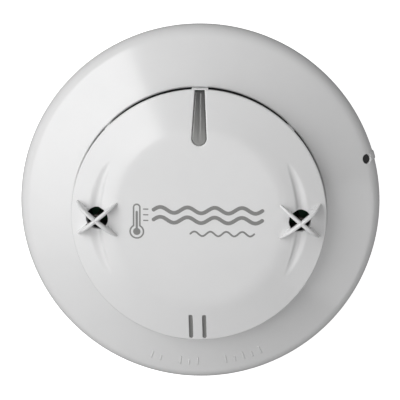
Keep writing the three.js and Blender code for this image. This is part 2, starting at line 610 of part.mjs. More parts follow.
function frontCap() {
  const top = capHeight(0) + FIN_CREST;
  const reach = MOUTH_RADIUS - FIT;
  const holes = [-SENSOR_RADIUS, SENSOR_RADIUS].map((x) => rod(SENSOR_HOLE, CAP_LIP_BOTTOM, top, x, 0, 24));
  const fins = join(guardFin(1), guardFin(-1));
  const legFoot = SHROUD_TOP + FIT;
  const legOutline = [
    [reach - LEG_DEPTH, legFoot],
    [reach, legFoot],
    [reach, CAP_LIP_BOTTOM],
    [CAP_RADIUS - FIT, CAP_LIP_TOP],
    [reach - LEG_DEPTH, CAP_LIP_TOP],
  ];
  const legs = LEG_AZIMUTHS.map((azimuth) => radialPlate(legOutline, LEG_WIDTH, azimuth));
  const cradleInner = DRUM_RADIUS + CRADLE_CLEARANCE;
  const cradleOutline = [
    [cradleInner, legFoot],
    [reach, legFoot],
    [reach, CAP_LIP_TOP - FIT],
    [CAP_RADIUS - FIT, CAP_LIP_TOP],
    [cradleInner, capHeight(cradleInner) - CAP_WALL / 2],
  ];
  const cradle = radialPlate(cradleOutline, LENS_OUTER_WIDTH + 2 * (FIT + LENS_CHANNEL_WALL), 90);
  const lensWay = raised(lensPlan(FIT), legFoot - 1, top);
  const shell = cut(capShell(), ...holes);
  return cut(join(shell, fins, rotated(fins, 180), ...legs, cradle), lensWay);
}

// Outline of the cover's outer surface, from the skirt's foot to the mouth, pulled in by an offset.
function coverOutline(offset) {
  const centre = [RIM_RADIUS - SHOULDER_RADIUS, HEAD_BOTTOM + SKIRT_HEIGHT];
  const radius = SHOULDER_RADIUS - offset;
  const line = [[RIM_RADIUS - offset, HEAD_BOTTOM]];
  for (const angle of [0, 16, 32, 48, 90 - COVER_SLOPE]) {
    line.push([centre[0] + radius * cos(angle), centre[1] + radius * sin(angle)]);
  }
  const [r, z] = line[line.length - 1];
  line.push([MOUTH_RADIUS, z + (r - MOUTH_RADIUS) * tan(COVER_SLOPE)]);
  return line;
}

// Height of the cover's outer surface on its cone, at a distance r from the axis.
function coverHeight(r) {
  const [mouthR, mouthZ] = coverOutline(0).at(-1);
  return mouthZ - (r - mouthR) * tan(COVER_SLOPE);
}

function outerCover() {
  const shell = turned([...coverOutline(0), ...coverOutline(COVER_WALL).reverse()]);
  const bossTop = coverHeight(COVER_SCREW_RADIUS + BOSS_RADIUS) - COVER_WALL / 2;
  const bossFoot = HOUSING_TOP + FIT;
  const boreTop = COVER_SCREW_SEAT + COVER_SCREW_LENGTH + FIT;
  const bosses = [];
  const bores = [];
  for (const azimuth of COVER_SCREW_AZIMUTHS) {
    const place = around(azimuth, COVER_SCREW_RADIUS);
    bosses.push(rod(BOSS_RADIUS, bossFoot, bossTop, ...place));
    bores.push(rod(COVER_SCREW_SHANK + FIT, bossFoot - 1, boreTop, ...place));
  }
  const holeRadius = RIM_RADIUS - TOOL_HOLE_INSET;
  const toolHole = new THREE.CylinderGeometry(TOOL_HOLE_RADIUS, TOOL_HOLE_RADIUS, 4 * COVER_WALL, COARSE);
  toolHole.rotateX(Math.PI / 2).rotateY(turn(COVER_SLOPE));
  toolHole.translate(holeRadius, 0, coverHeight(holeRadius)).rotateZ(turn(TOOL_HOLE_AZIMUTH));
  const markAngle = THREE.MathUtils.radToDeg(MARK_WIDTH / RIM_RADIUS);
  const markTop = HEAD_BOTTOM + SKIRT_HEIGHT;
  const markInner = RIM_RADIUS - COVER_WALL / 2;
  const mark = sector(markInner, RIM_RADIUS + MARK_PROUD, TOOL_HOLE_AZIMUTH, markAngle, HEAD_BOTTOM, markTop);
  return cut(join(shell, ...bosses, mark), ...bores, solidFrom(toolHole));
}

// ---------------------------------------------------------------- components on the board
// Each is [x, y, z] sizes centred on a plan place, standing on the board.
function standing(width, depth, height, x, y, azimuth = 0) {
  const geometry = new THREE.BoxGeometry(width, depth, height);
  geometry.rotateZ(turn(azimuth)).translate(x, y, BOARD_TOP + FIT + height / 2);
  return solidFrom(geometry);
}

function smoothingCapacitor() {
  const [x, y] = [11, -8];
  return rod(4, BOARD_TOP + FIT, BOARD_TOP + FIT + 8, x, y, 20);
}

function surgeSuppressor() {
  const disc = new THREE.CylinderGeometry(4.2, 4.2, 2.6, 20);
  return solidFrom(disc.translate(-12, -9, BOARD_TOP + FIT + 4.2));
}

// A glass tube with a lead out of each end, bent down to the board, along X.
function reedSwitch() {
  const y = -15;
  const z = BOARD_TOP + FIT + 0.65;
  const glass = new THREE.CylinderGeometry(0.6, 0.6, 10, TINY).rotateZ(Math.PI / 2);
  const wire = new THREE.CylinderGeometry(0.3, 0.3, 14, TINY).rotateZ(Math.PI / 2);
  const ends = [-7, 7].map((x) => rod(0.3, BOARD_TOP + FIT, z + 0.3, x, y, TINY));
  return join(solidFrom(glass.translate(0, y, z)), solidFrom(wire.translate(0, y, z)), ...ends);
}

// ---------------------------------------------------------------- assembly
const finish = (color, roughness, metalness = 0) =>
  new THREE.MeshStandardMaterial({ color, roughness, metalness });
const FINISHES = {
  shell: finish(0xdcdcda, 0.3),
  housing: finish(0xd6d6d3, 0.45),
  shroud: finish(0x0c0c0d, 0.6),
  lens: finish(0xa8a8a6, 0.12),
  bead: finish(0x14110f, 0.3),
  board: finish(0x1d5a34, 0.5),
  chip: finish(0x151517, 0.5),
  led: finish(0xf0efe6, 0.3),
  glass: finish(0xa9bdb2, 0.1),
  can: finish(0x23262f, 0.4),
  suppressor: finish(0x2c5fa3, 0.4),
  switch_body: finish(0x1e1e22, 0.5),
  rotor: finish(0xe6e2d2, 0.45),
  brass: finish(0xc8a95a, 0.3, 1),
  tin: finish(0xb9bcbd, 0.3, 1),
  steel: finish(0x9fa3a6, 0.35, 1),
};

function piece(name, solid, slot) {
  const mesh = new THREE.Mesh(geometryFrom(solid), FINISHES[slot]);
  mesh.name = name;
  return mesh;
}

const detector = new THREE.Group();
const base = new THREE.Group();
const head = new THREE.Group();
detector.add(base, head);

base.add(piece("base_body", baseBody(), "housing"));
CONTACT_AZIMUTHS.forEach((azimuth, i) => {
  const terminal = new THREE.Group();
  terminal.rotation.z = turn(azimuth);
  const screw = piece(`terminal_screw_${i + 1}`, terminalScrew(), "tin");
  const clamp = piece(`clamp_washer_${i + 1}`, clampWasher(), "tin");
  screw.position.x = TERMINAL_RADIUS;
  clamp.position.x = TERMINAL_RADIUS;
  terminal.add(piece(`base_contact_${i + 1}`, baseContact(), "brass"), screw, clamp);
  base.add(terminal);
  const blade = piece(`contact_blade_${i + 1}`, contactBlade(), "brass");
  blade.rotation.z = turn(azimuth);
  head.add(blade);
});

const lever = piece("tamper_lever", tamperLever(), "housing");
lever.position.set(LEVER_OFFSET, LEVER_LENGTH / 2, LEVER_PIVOT_Z);
const leverFrame = new THREE.Group();
leverFrame.rotation.z = turn(LEVER_AZIMUTH);
leverFrame.add(lever);
base.add(leverFrame);

head.add(
  piece("rear_housing", rearHousing(), "housing"),
  piece("circuit_board", circuitBoard(), "board"),
  piece("sensor_shroud", sensorShroud(), "shroud"),
  piece("light_pipe", lightPipe(), "lens"),
  piece("front_cap", frontCap(), "shell"),
  piece("outer_cover", outerCover(), "shell"),
  piece("microcontroller", standing(9, 9, 1.4, -2, 8), "chip"),
  piece("bridge_rectifier", standing(6, 5, 2.4, -3, -8), "chip"),
  piece("clock_crystal", standing(10, 4, 3, 12, 6, 90), "steel"),
  piece("status_led", standing(2.8, 1.6, 1, 0, LED_RADIUS), "led"),
  piece("smoothing_capacitor", smoothingCapacitor(), "can"),
  piece("surge_suppressor", surgeSuppressor(), "suppressor"),
  piece("reed_switch", reedSwitch(), "glass"),
);

for (const [side, name] of [[-1, "left"], [1, "right"]]) {
  const sensor = piece(`thermistor_${name}`, thermistor(), "bead");
  sensor.position.x = side * SENSOR_RADIUS;
  head.add(sensor);
}

for (const [name, [x, y]] of Object.entries(SWITCH_PLACES)) {
  const housing = piece(`address_switch_${name}`, switchBody(), "switch_body");
  const rotor = piece(`address_rotor_${name}`, switchRotor(), "rotor");
  housing.position.set(x, y, 0);
  rotor.position.set(x, y, 0);
  head.add(housing, rotor);
}

COVER_SCREW_AZIMUTHS.forEach((azimuth, i) => {
  const screw = piece(`cover_screw_${i + 1}`, coverScrew(), "steel");
  screw.rotation.x = Math.PI;
  screw.position.set(...around(azimuth, COVER_SCREW_RADIUS), COVER_SCREW_SEAT);
  head.add(screw);
});

export default detector;
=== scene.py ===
# %% [markdown]
# # A round ceiling heat detector
# The detector is a plug-in head on a base. Seen from below it is three white mouldings: a sloping outer
# ring, a domed front cap that floats above it, and between them a dark slot where the air goes in.
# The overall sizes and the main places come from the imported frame, in metres. Details between them are
# named constants. The shapes are worked out in millimetres, because a moulding drawing is, and are scaled
# once when a mesh is made.

# %% Load the frame
import json
import math

import bmesh
import bpy
import numpy as np
from mathutils import Matrix, Vector


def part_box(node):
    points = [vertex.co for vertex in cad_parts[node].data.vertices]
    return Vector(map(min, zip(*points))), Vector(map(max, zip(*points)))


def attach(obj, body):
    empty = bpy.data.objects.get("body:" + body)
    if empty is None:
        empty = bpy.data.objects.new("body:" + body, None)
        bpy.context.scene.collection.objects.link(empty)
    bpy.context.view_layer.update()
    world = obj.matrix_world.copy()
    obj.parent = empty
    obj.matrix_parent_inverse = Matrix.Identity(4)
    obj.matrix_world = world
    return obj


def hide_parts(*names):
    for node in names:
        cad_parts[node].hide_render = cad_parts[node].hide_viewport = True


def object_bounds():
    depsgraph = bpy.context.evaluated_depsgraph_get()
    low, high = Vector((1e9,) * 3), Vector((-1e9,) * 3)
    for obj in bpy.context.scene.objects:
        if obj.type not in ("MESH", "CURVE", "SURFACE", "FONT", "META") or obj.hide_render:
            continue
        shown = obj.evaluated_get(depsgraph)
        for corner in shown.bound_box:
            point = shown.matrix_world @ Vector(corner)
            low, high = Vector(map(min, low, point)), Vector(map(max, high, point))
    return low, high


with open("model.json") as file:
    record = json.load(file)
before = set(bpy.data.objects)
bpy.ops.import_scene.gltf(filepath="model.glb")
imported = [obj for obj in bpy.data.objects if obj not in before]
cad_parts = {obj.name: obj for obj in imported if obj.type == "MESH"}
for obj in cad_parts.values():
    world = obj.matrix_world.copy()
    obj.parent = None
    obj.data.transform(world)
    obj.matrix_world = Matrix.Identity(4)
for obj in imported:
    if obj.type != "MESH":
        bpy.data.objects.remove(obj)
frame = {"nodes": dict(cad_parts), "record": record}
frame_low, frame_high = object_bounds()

MM = 0.001


def span(node):
    """Lowest and highest corner of one frame node, in millimetres."""
    low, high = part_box(node)
    return np.array(low) / MM, np.array(high) / MM


def middle(node):
    """Centre of one frame node's box, in millimetres."""
    return sum(span(node)) / 2


cover_low, cover_high = span("outer_cover")
cap_low, cap_high = span("front_cap")
base_low, base_high = span("base_body")
print("ring", cover_low.round(2), cover_high.round(2))
print("cap", cap_low.round(2), cap_high.round(2))

# %% [markdown]
# ## Tools for surfaces
# A moulding can be carved by hand, cut with booleans or worked out as a sheet. A sheet is best here: the
# ring is one profile turned round an axis, and the cap is a height above each point of its plan, so a few
# whole-array sums give every vertex. The sheets are then welded, so that each piece is one closed skin.


# %% Grids, welding and closing
def grid_triangles(rows, columns):
    """Two triangles for each cell of a grid whose points run along its rows."""
    corner = np.arange(rows * columns).reshape(rows, columns)
    a, b = corner[:-1, :-1].ravel(), corner[:-1, 1:].ravel()
    c, d = corner[1:, 1:].ravel(), corner[1:, :-1].ravel()
    return np.concatenate([np.stack([a, b, c], 1), np.stack([a, c, d], 1)])


def together(parts):
    """Several (points, triangles) pairs as one: each part's indices are raised by the points before."""
    starts = np.cumsum([0] + [len(points) for points, _ in parts[:-1]])
    points = np.concatenate([points for points, _ in parts])
    return points, np.concatenate([faces + start for (_, faces), start in zip(parts, starts)])


def weld(points, faces, step=1e-4):
    """Points in the same cell of a fine lattice become one, and triangles that lose a corner are dropped."""
    cells = np.round(points / step).astype(np.int64)
    _, first, index = np.unique(cells, axis=0, return_index=True, return_inverse=True)
    faces = index.reshape(-1)[faces]
    a, b, c = faces.T
    return points[first], faces[(a != b) & (b != c) & (c != a)]


def facing_up(plan, faces):
    """Triangles turned so that each runs anticlockwise in the plan."""
    a, b, c = (plan[faces[:, i], :2] for i in range(3))
    area = (b - a)[:, 0] * (c - a)[:, 1] - (b - a)[:, 1] * (c - a)[:, 0]
    return np.where((area < 0)[:, None], faces[:, ::-1], faces)


def outward(points, faces):
    """A closed skin turned so that its signed volume, the sum of a.(b x c)/6, is positive."""
    a, b, c = (points[faces[:, i]] for i in range(3))
    volume = np.einsum("ij,ij->i", a, np.cross(b, c)).sum() / 6
    return (points, faces) if volume > 0 else (points, faces[:, ::-1])


def closed_grid(points):
    """A grid of points (rows, columns, 3) whose edges already meet, as a closed welded skin."""
    rows, columns = points.shape[:2]
    return outward(*weld(points.reshape(-1, 3), grid_triangles(rows, columns)))


def rim_edges(faces):
    """The directed edges that only one triangle uses."""
    edges = np.concatenate([faces[:, [0, 1]], faces[:, [1, 2]], faces[:, [2, 0]]])
    size = int(faces.max()) + 1
    key, back = edges[:, 0] * size + edges[:, 1], edges[:, 1] * size + edges[:, 0]
    return edges[~np.isin(key, back)]


def two_layers(faces, count):
    """A sheet's triangles, the same turned over on points count further on, and a wall along free edges."""
    a, b = rim_edges(faces).T
    wall = np.concatenate([np.stack([b, a, a + count], 1), np.stack([b, a + count, b + count], 1)])
    return np.concatenate([faces, faces[:, ::-1] + count, wall])


def slab(plan, faces, top, bottom):
    """A plan sheet given thickness: top(x, y) above, bottom(x, y) below, a wall along every free edge."""
    flat = np.column_stack([plan, np.zeros(len(plan))])
    flat, faces = weld(flat, faces)
    faces = facing_up(flat, faces)
    x, y = flat[:, 0], flat[:, 1]
    upper = np.column_stack([x, y, top(x, y)])
    lower = np.column_stack([x, y, bottom(x, y)])
    return outward(np.concatenate([upper, lower]), two_layers(faces, len(flat)))


print("a grid of 3 by 4 points has", len(grid_triangles(3, 4)), "triangles")

# %% Profiles
def filleted(corners, radii, steps=8):
    """A closed outline with its corners rounded: each corner gives way to the arc that touches both sides."""
    corners = np.asarray(corners, float)
    line = []
    for before, corner, after, radius in zip(np.roll(corners, 1, 0), corners, np.roll(corners, -1, 0), radii):
        if radius == 0:
            line.append(corner[None])
            continue
        u, v = before - corner, after - corner
        u, v = u / np.linalg.norm(u), v / np.linalg.norm(v)
        half = math.acos(np.clip(u @ v, -1, 1)) / 2
        reach = radius / math.tan(half)
        bisector = (u + v) / np.linalg.norm(u + v)
        centre = corner + bisector * radius / math.sin(half)
        start, end = corner + u * reach - centre, corner + v * reach - centre
        sweep = math.pi - 2 * half
        t = np.linspace(0, 1, steps + 1)[:, None]
        line.append(centre + (np.sin((1 - t) * sweep) * start + np.sin(t * sweep) * end) / math.sin(sweep))
    return np.concatenate(line)


def turned(line, columns=192):
    """A closed outline of (radius, height) turned round Z: x = r cos a, y = r sin a."""
    line = np.concatenate([line, line[:1]])
    angle = np.linspace(0, 2 * math.pi, columns + 1)[None, :]
    r, z = line[:, :1], line[:, 1:]
    points = np.stack([r * np.cos(angle), r * np.sin(angle), z + 0 * angle], -1)
    points[:, -1] = points[:, 0]
    return closed_grid(points)


def swung(points, first, second, angle):
    """Points turned by an angle in one plane: first' = f cos a - s sin a, second' = f sin a + s cos a."""
    c, t = math.cos(angle), math.sin(angle)
    moved = points.copy()
    moved[..., first] = points[..., first] * c - points[..., second] * t
    moved[..., second] = points[..., first] * t + points[..., second] * c
    return moved


def step_up(value, low, high):
    """0 below low, 1 above high, and the smooth curve 3t^2 - 2t^3 between them."""
    t = np.clip((value - low) / (high - low), 0, 1)
    return t * t * (3 - 2 * t)


def rounding(distance, radius):
    """How far a surface drops near an edge: radius - sqrt(radius^2 - (radius - distance)^2)."""
    inside = np.clip(radius - distance, 0, radius)
    return radius - np.sqrt(np.maximum(radius**2 - inside**2, 0))


def softened_box(size, radius, steps=5):
    """A box with round edges: a sphere whose octants are pulled apart to the box's corners."""
    u = np.linspace(-math.pi / 2, math.pi / 2, 2 * steps)
    u = np.insert(u, steps, 0.0)
    v = np.linspace(-math.pi, math.pi, 8 * steps + 1)
    latitude, longitude = np.meshgrid(u, v, indexing="ij")
    level = np.cos(latitude)
    ball = np.stack([level * np.cos(longitude), level * np.sin(longitude), np.sin(latitude)], -1)
    half = np.asarray(size) / 2 - radius
    side = np.clip(ball * 1e6, -1, 1)
    return ball * radius, side * half


print("a rounded square has", len(filleted([(0, 0), (1, 0), (1, 1), (0, 1)], [0.25] * 4)), "points")


# %% Make a mesh piece
def make_piece(name, body, skin, material, sharp=38, replaces=()):
    """A named piece from closed skins in millimetres, all facing out, riding on a frame body."""
    points, faces = weld(*skin)
    mesh = bpy.data.meshes.new(name)
    mesh.vertices.add(len(points))
    mesh.vertices.foreach_set("co", (points * MM).astype(np.float32).ravel())
    mesh.loops.add(faces.size)
    mesh.loops.foreach_set("vertex_index", faces.astype(np.int32).ravel())
    mesh.polygons.add(len(faces))
    mesh.polygons.foreach_set("loop_start", np.arange(0, faces.size, 3, dtype=np.int32))
    mesh.update(calc_edges=True)
    facing = bmesh.new()
    facing.from_mesh(mesh)
    bmesh.ops.recalc_face_normals(facing, faces=facing.faces)
    facing.to_mesh(mesh)
    facing.free()
    mesh.shade_smooth()
    mesh.set_sharp_from_angle(angle=math.radians(sharp))
    mesh.materials.append(material)
    piece = bpy.data.objects.new(name, mesh)
    bpy.context.scene.collection.objects.link(piece)
    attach(piece, body)
    if replaces:
        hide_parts(*replaces)
    print(f"{name}: {len(points)} points, {len(faces)} triangles")
    return piece


print("pieces are made in millimetres and scaled by", MM)


# %% [markdown]
# ## Finishes
# Moulded plastic is never one flat colour. Its gloss wanders a little, its skin has a fine orange peel,
# and the tiny waves in it soften the edge of every reflection. A picture of that could be wrapped round
# the part, but a procedural pattern has no seams and no fixed resolution, so each finish is worked out
# from noise on the object's own coordinates. A small class lets the sums be written as sums.


# %% Shader sums as Python sums
class Signal:
    """A number that varies over a surface. Python's operators on it add Math nodes."""

    def __init__(self, tree, socket):
        self.tree = tree
        self.socket = socket

    def sum_of(self, operation, *terms):
        """One Math node: each term is a Signal or a plain number."""
        node = self.tree.nodes.new("ShaderNodeMath")
        node.operation = operation
        for place, term in zip(node.inputs, terms):
            if isinstance(term, Signal):
                self.tree.links.new(term.socket, place)
            else:
                place.default_value = term
        return Signal(self.tree, node.outputs[0])

    def __add__(self, other):
        return self.sum_of("ADD", self, other)

    def __sub__(self, other):
        return self.sum_of("SUBTRACT", self, other)

    def __rsub__(self, other):
        return self.sum_of("SUBTRACT", other, self)

    def __mul__(self, other):
        return self.sum_of("MULTIPLY", self, other)

    __radd__ = __add__
    __rmul__ = __mul__


class Finish:
    """A node material with a Principled shader. Plain values are set on the shader's own sockets."""

    def __init__(self, name, **uniform):
        self.material = bpy.data.materials.new(name)
        self.material.use_nodes = True
        self.tree = self.material.node_tree
        self.shader = next(n for n in self.tree.nodes if n.type == "BSDF_PRINCIPLED")
        for key, value in uniform.items():
            self.shader.inputs[key.replace("_", " ").title().replace("Ior", "IOR")].default_value = value
        self.place = self.node("ShaderNodeTexCoord", output="Object")

    def node(self, kind, settings=None, inputs=None, output=0):
        """Any other node: its settings first, then the values or links of its sockets."""
        node = self.tree.nodes.new(kind)
        for key, value in (settings or {}).items():
            setattr(node, key, value)
        for key, value in (inputs or {}).items():
            if isinstance(value, Signal):
                self.tree.links.new(value.socket, node.inputs[key])
            else:
                node.inputs[key].default_value = value
        return Signal(self.tree, node.outputs[output])

    def noise(self, size, detail=2.0, stretch=(1, 1, 1)):
        """Noise from 0 to 1 whose blotches are about size millimetres across."""
        place = self.place
        if stretch != (1, 1, 1):
            place = self.node("ShaderNodeMapping", inputs={"Vector": self.place, "Scale": stretch})
        inputs = {"Vector": place, "Scale": 1 / (size * MM), "Detail": detail}
        return self.node("ShaderNodeTexNoise", inputs=inputs)

    def between(self, low, high, share):
        """Two colours mixed by a share from 0 to 1."""
        settings = {"data_type": "RGBA"}
        inputs = {0: share, 6: (*low, 1), 7: (*high, 1)}
        return self.node("ShaderNodeMix", settings, inputs, output=2)

    def feed(self, **varying):
        """Links signals to the shader's sockets."""
        for key, value in varying.items():
            self.tree.links.new(value.socket, self.shader.inputs[key.replace("_", " ").title()])
        return self

    def relief(self, height, depth):
        """A bump whose full height is depth millimetres."""
        inputs = {"Height": height, "Distance": depth * MM, "Strength": 1.0}
        return self.feed(normal=self.node("ShaderNodeBump", inputs=inputs))


print("sizes of noise and relief are given in millimetres of", MM, "m")


# %% Plastics
def moulded(name, light, dark, gloss, swing, peel, **uniform):
    """Moulded plastic: a faint drift of colour, gloss that wanders, and an orange peel of a few microns."""
    made = Finish(name, **uniform)
    drift = made.noise(9, 3)
    made.feed(base_color=made.between(light, dark, drift))
    made.feed(roughness=gloss - swing / 2 + swing * made.noise(2.5, 4))
    skin = made.noise(0.9, 2) + 0.25 * made.noise(0.12, 1)
    return made.relief(skin, peel).material


white_gloss = moulded(
    "white_gloss_plastic", (0.80, 0.80, 0.80), (0.765, 0.765, 0.768), 0.17, 0.05, 0.0016, ior=1.5)
white_satin = moulded(
    "white_satin_plastic", (0.74, 0.74, 0.735), (0.70, 0.70, 0.695), 0.36, 0.1, 0.004)
black_satin = moulded(
    "black_satin_plastic", (0.012, 0.012, 0.013), (0.018, 0.018, 0.019), 0.5, 0.12, 0.006)
grey_ink = moulded("grey_ink", (0.26, 0.26, 0.255), (0.235, 0.235, 0.23), 0.34, 0.1, 0.002)
print("plastics:", white_gloss.name, white_satin.name, black_satin.name, grey_ink.name)

# %% [markdown]
# ## The outer ring
# The ring is a cone with a rounded shoulder, a short skirt and a thin lip round its mouth. A lathe could
# turn it, but it also has a drilled hole for the release tool and a raised rib that shows which way to
# twist. So its skin is a sheet on two parameters, the azimuth and the way along its profile, and a block
# of cells in it gives way to a ring of cells that closes round the drilled hole.

# %% The ring's profile
RING_RADIUS = (cover_high - cover_low)[1] / 2
SKIRT_FOOT = cover_low[2]
MOUTH_RADIUS = 34.0
MOUTH_TOP = cover_high[2]
RING_SLOPE = math.tan(math.radians(27))
FOOT_ROUND, MOUTH_ROUND, INNER_ROUND = 0.35, 0.45, 0.3
RING_WALL = 2.0
SHOULDER = 6.0
HOLE_AZIMUTH = math.radians(17.7)
HOLE_RADIUS = 1.34
HOLE_INSET = 2.6
HOLE_PLACE = RING_RADIUS - HOLE_INSET
RIB_HALF = 1.15
RIB_PROUD = 0.33


def ring_cone(r, inset=0.0):
    """Height of the ring's sloping face at radius r, moved in by an inset measured across the wall."""
    return MOUTH_TOP - (r - MOUTH_RADIUS) * RING_SLOPE - inset * math.hypot(1, RING_SLOPE)


skirt_inner = RING_RADIUS - RING_WALL
corners = [
    (RING_RADIUS, SKIRT_FOOT),
    (RING_RADIUS, ring_cone(RING_RADIUS)),
    (MOUTH_RADIUS, MOUTH_TOP),
    (MOUTH_RADIUS, ring_cone(MOUTH_RADIUS, RING_WALL)),
    (skirt_inner, ring_cone(skirt_inner, RING_WALL)),
    (skirt_inner, SKIRT_FOOT),
]
inner_bend = SHOULDER - RING_WALL
outline = filleted(
    corners, [FOOT_ROUND, SHOULDER, MOUTH_ROUND, INNER_ROUND, inner_bend, INNER_ROUND], 14)
path = np.concatenate([outline, outline[:1]])
travel = np.concatenate([[0], np.cumsum(np.linalg.norm(np.diff(path, axis=0), axis=1))])


def along_profile(radius, sheet):
    """The way along the profile to where its outer (0) or inner (1) sheet has that radius."""
    mouth = int(np.argmin(path[:, 0]))
    shoulder = int(np.argmax(path[:mouth, 0] - 1e-6 * np.arange(mouth)[::-1]))
    if sheet == 0:
        return np.interp(-radius, -path[shoulder:mouth, 0], travel[shoulder:mouth])
    return np.interp(radius, path[mouth:, 0], travel[mouth:])


cone_angle = math.atan(RING_SLOPE)
inner_place = HOLE_PLACE - RING_WALL * math.sin(cone_angle)
hole_ways = [along_profile(HOLE_PLACE, 0), along_profile(inner_place, 1)]
print("profile length", round(float(travel[-1]), 1), "mm, hole at", np.round(hole_ways, 2))


# %% The ring's skin
def ring_point(azimuth, way):
    """A point of the skin: the profile's (r, z) at that way, turned to that azimuth, with the rib laid on."""
    r = np.interp(way, travel, path[:, 0])
    z = np.interp(way, travel, path[:, 1])
    ahead = np.minimum(way + 0.05, travel[-1])
    behind = np.maximum(way - 0.05, 0)
    dr = np.interp(ahead, travel, path[:, 0]) - np.interp(behind, travel, path[:, 0])
    dz = np.interp(ahead, travel, path[:, 1]) - np.interp(behind, travel, path[:, 1])
    size = np.hypot(dr, dz) + 1e-12
    across = np.abs(azimuth - HOLE_AZIMUTH) * RING_RADIUS
    lift = RIB_PROUD * (1 - step_up(across, RIB_HALF - 0.3, RIB_HALF + 0.05))
    lift = lift * (1 - step_up(way, hole_ways[0] - 0.9, hole_ways[0] + 1.0)) * step_up(way, 0.1, 0.7)
    r, z = r + lift * dz / size, z - lift * dr / size
    return np.stack([r * np.cos(azimuth), r * np.sin(azimuth), z], -1)


BLOCK = np.linspace(-2.4, 2.4, 13)
plain = np.concatenate([travel, np.arange(0, travel[-1], 0.9)])
for way in hole_ways:
    plain = plain[np.abs(plain - way) > BLOCK[-1] + 0.25]
ways = np.sort(np.unique(np.round(np.concatenate([plain, *(way + BLOCK for way in hole_ways)]), 5)))
ways = ways[np.concatenate([[True], np.diff(ways) > 0.01])]
near = HOLE_AZIMUTH + np.radians(np.arange(-4.5, 4.51, 0.15))
around = np.linspace(near[-1], near[0] + 2 * math.pi, 260)[1:]
azimuths = np.concatenate([near, around])
block_columns = np.flatnonzero(np.abs(azimuths - HOLE_AZIMUTH) < math.radians(2.9))


def ring_of_cells(outline, radius, shares):
    """Rows of points from a round hole (share 0) out to the outline of the cells it replaces (share 1)."""
    angle = np.arctan2(outline[:, 1], outline[:, 0])
    edge = radius * np.stack([np.cos(angle), np.sin(angle)], 1)
    return edge + np.asarray(shares)[:, None, None] * (outline - edge)


def around_block(rows, columns):
    """Index pairs round the edge of a block of rows and columns, back to the start."""
    top = [(rows[0], c) for c in columns]
    right = [(r, columns[-1]) for r in rows[1:]]
    foot = [(rows[-1], c) for c in columns[::-1][1:]]
    left = [(r, columns[0]) for r in rows[::-1][1:]]
    return np.array(top + right + foot + left)


def plan_ring(grid, rows, columns, middle_of, radius, shares):
    """The ring of cells between a block's border and the round hole about each point's own middle."""
    border = around_block(rows, columns)
    edge = grid[border[:, 0], border[:, 1]]
    centre = middle_of(edge)
    cells = ring_of_cells(edge - centre, radius, shares) + centre
    return cells.reshape(-1, 2), grid_triangles(len(shares), len(border))


def grid_with_holes(rows, columns, blocks):
    """Triangles of a grid, without the cells inside the given (rows, columns) blocks."""
    faces = grid_triangles(rows, columns)
    cell = np.tile(np.arange((rows - 1) * (columns - 1)), 2)
    row, column = cell // (columns - 1), cell % (columns - 1)
    keep = np.ones(len(faces), bool)
    for block_rows, block_cols in blocks:
        inside = (row >= block_rows[0]) & (row < block_rows[-1])
        keep &= ~(inside & (column >= block_cols[0]) & (column < block_cols[-1]))
    return faces[keep]


def outer_ring():
    """The ring's closed skin: the sheet, a ring of cells at each end of the drilled hole, and its bore."""
    way_grid, azimuth_grid = np.meshgrid(ways, azimuths, indexing="ij")
    sheet = ring_point(azimuth_grid, way_grid)
    sheet[-1] = sheet[0]
    sheet[:, -1] = sheet[:, 0]
    blocks, parts, mouths = [], [], []
    shares = np.array([0, 0.02, 0.06, 0.12, 0.25, 0.45, 0.7, 1.0])
    for way, flip in zip(hole_ways, (1, -1)):
        rows = np.flatnonzero(np.abs(ways - way) < BLOCK[-1] + 0.01)
        blocks.append((rows, block_columns))
        border = around_block(rows[::flip], block_columns)
        radius = np.interp(way, travel, path[:, 0])
        u = (azimuths[border[:, 1]] - HOLE_AZIMUTH) * radius
        v = (ways[border[:, 0]] - way) * flip
        cells = ring_of_cells(np.stack([u, v], 1), HOLE_RADIUS, shares)
        points = ring_point(HOLE_AZIMUTH + cells[..., 0] / radius, way + cells[..., 1] * flip)
        points[-1] = sheet[border[:, 0], border[:, 1]]
        drop = rounding(np.asarray(shares) * 1.2, 0.12)
        if flip == 1:
            points = points - drop[:, None, None] * [math.sin(cone_angle), 0, math.cos(cone_angle)]
        parts.append((points.reshape(-1, 3), grid_triangles(len(shares), len(border))))
        mouths.append(points[0])
    faces = grid_with_holes(len(ways), len(azimuths), blocks)
    bore = np.stack([mouths[0], mouths[1]])
    parts.append((bore.reshape(-1, 3), grid_triangles(2, bore.shape[1])))
    return together([(sheet.reshape(-1, 3), faces), *parts])


make_piece("outer_ring", "head", outer_ring(), white_gloss, replaces=["outer_cover"])

# %% [markdown]
# A thin black disc at the inner end of the drilled hole is painted shade: it stands for the dark depth of the
# hole. Without it the white base shines through.

# %% Painted shade disc in the drilled hole
SHADE_DISC_HALF = 0.25
SHADE_DISC_FIT = 0.04
SHADE_DISC_DEPTH = 0.8
SHOULDER_LEAN = 0.11  # radians that the shoulder has bent from the cone at the hole


def tool_hole_shade_disc():
    """A disc turned on Z, tipped to the shoulder's slope, sunk along the hole and swung to its azimuth."""
    edge = HOLE_RADIUS - SHADE_DISC_FIT
    line = np.array([(0, -SHADE_DISC_HALF), (edge, -SHADE_DISC_HALF), (edge, SHADE_DISC_HALF), (0, SHADE_DISC_HALF)])
    points, faces = turned(line, 32)
    tip = cone_angle + SHOULDER_LEAN
    sunk_by = np.array([math.sin(tip), 0, math.cos(tip)]) * SHADE_DISC_DEPTH
    mouth = np.array([HOLE_PLACE, 0, ring_cone(HOLE_PLACE) - SHADE_DISC_FIT])
    points = swung(points, 2, 0, tip) + mouth - sunk_by
    return swung(points, 0, 1, HOLE_AZIMUTH), faces


# The black disc is painted shade in the drilled hole, not a part of the moulding.
make_piece("tool_hole_shade_disc", "head", tool_hole_shade_disc(), black_satin)

# %% [markdown]
# ## Raised bars on the ring
# The moulding carries a faint relief on its lower side. Here it is three groups of plain bars, a sixth
# of a millimetre high. Each bar is a small slab whose top follows the cone and rounds off at its edges.

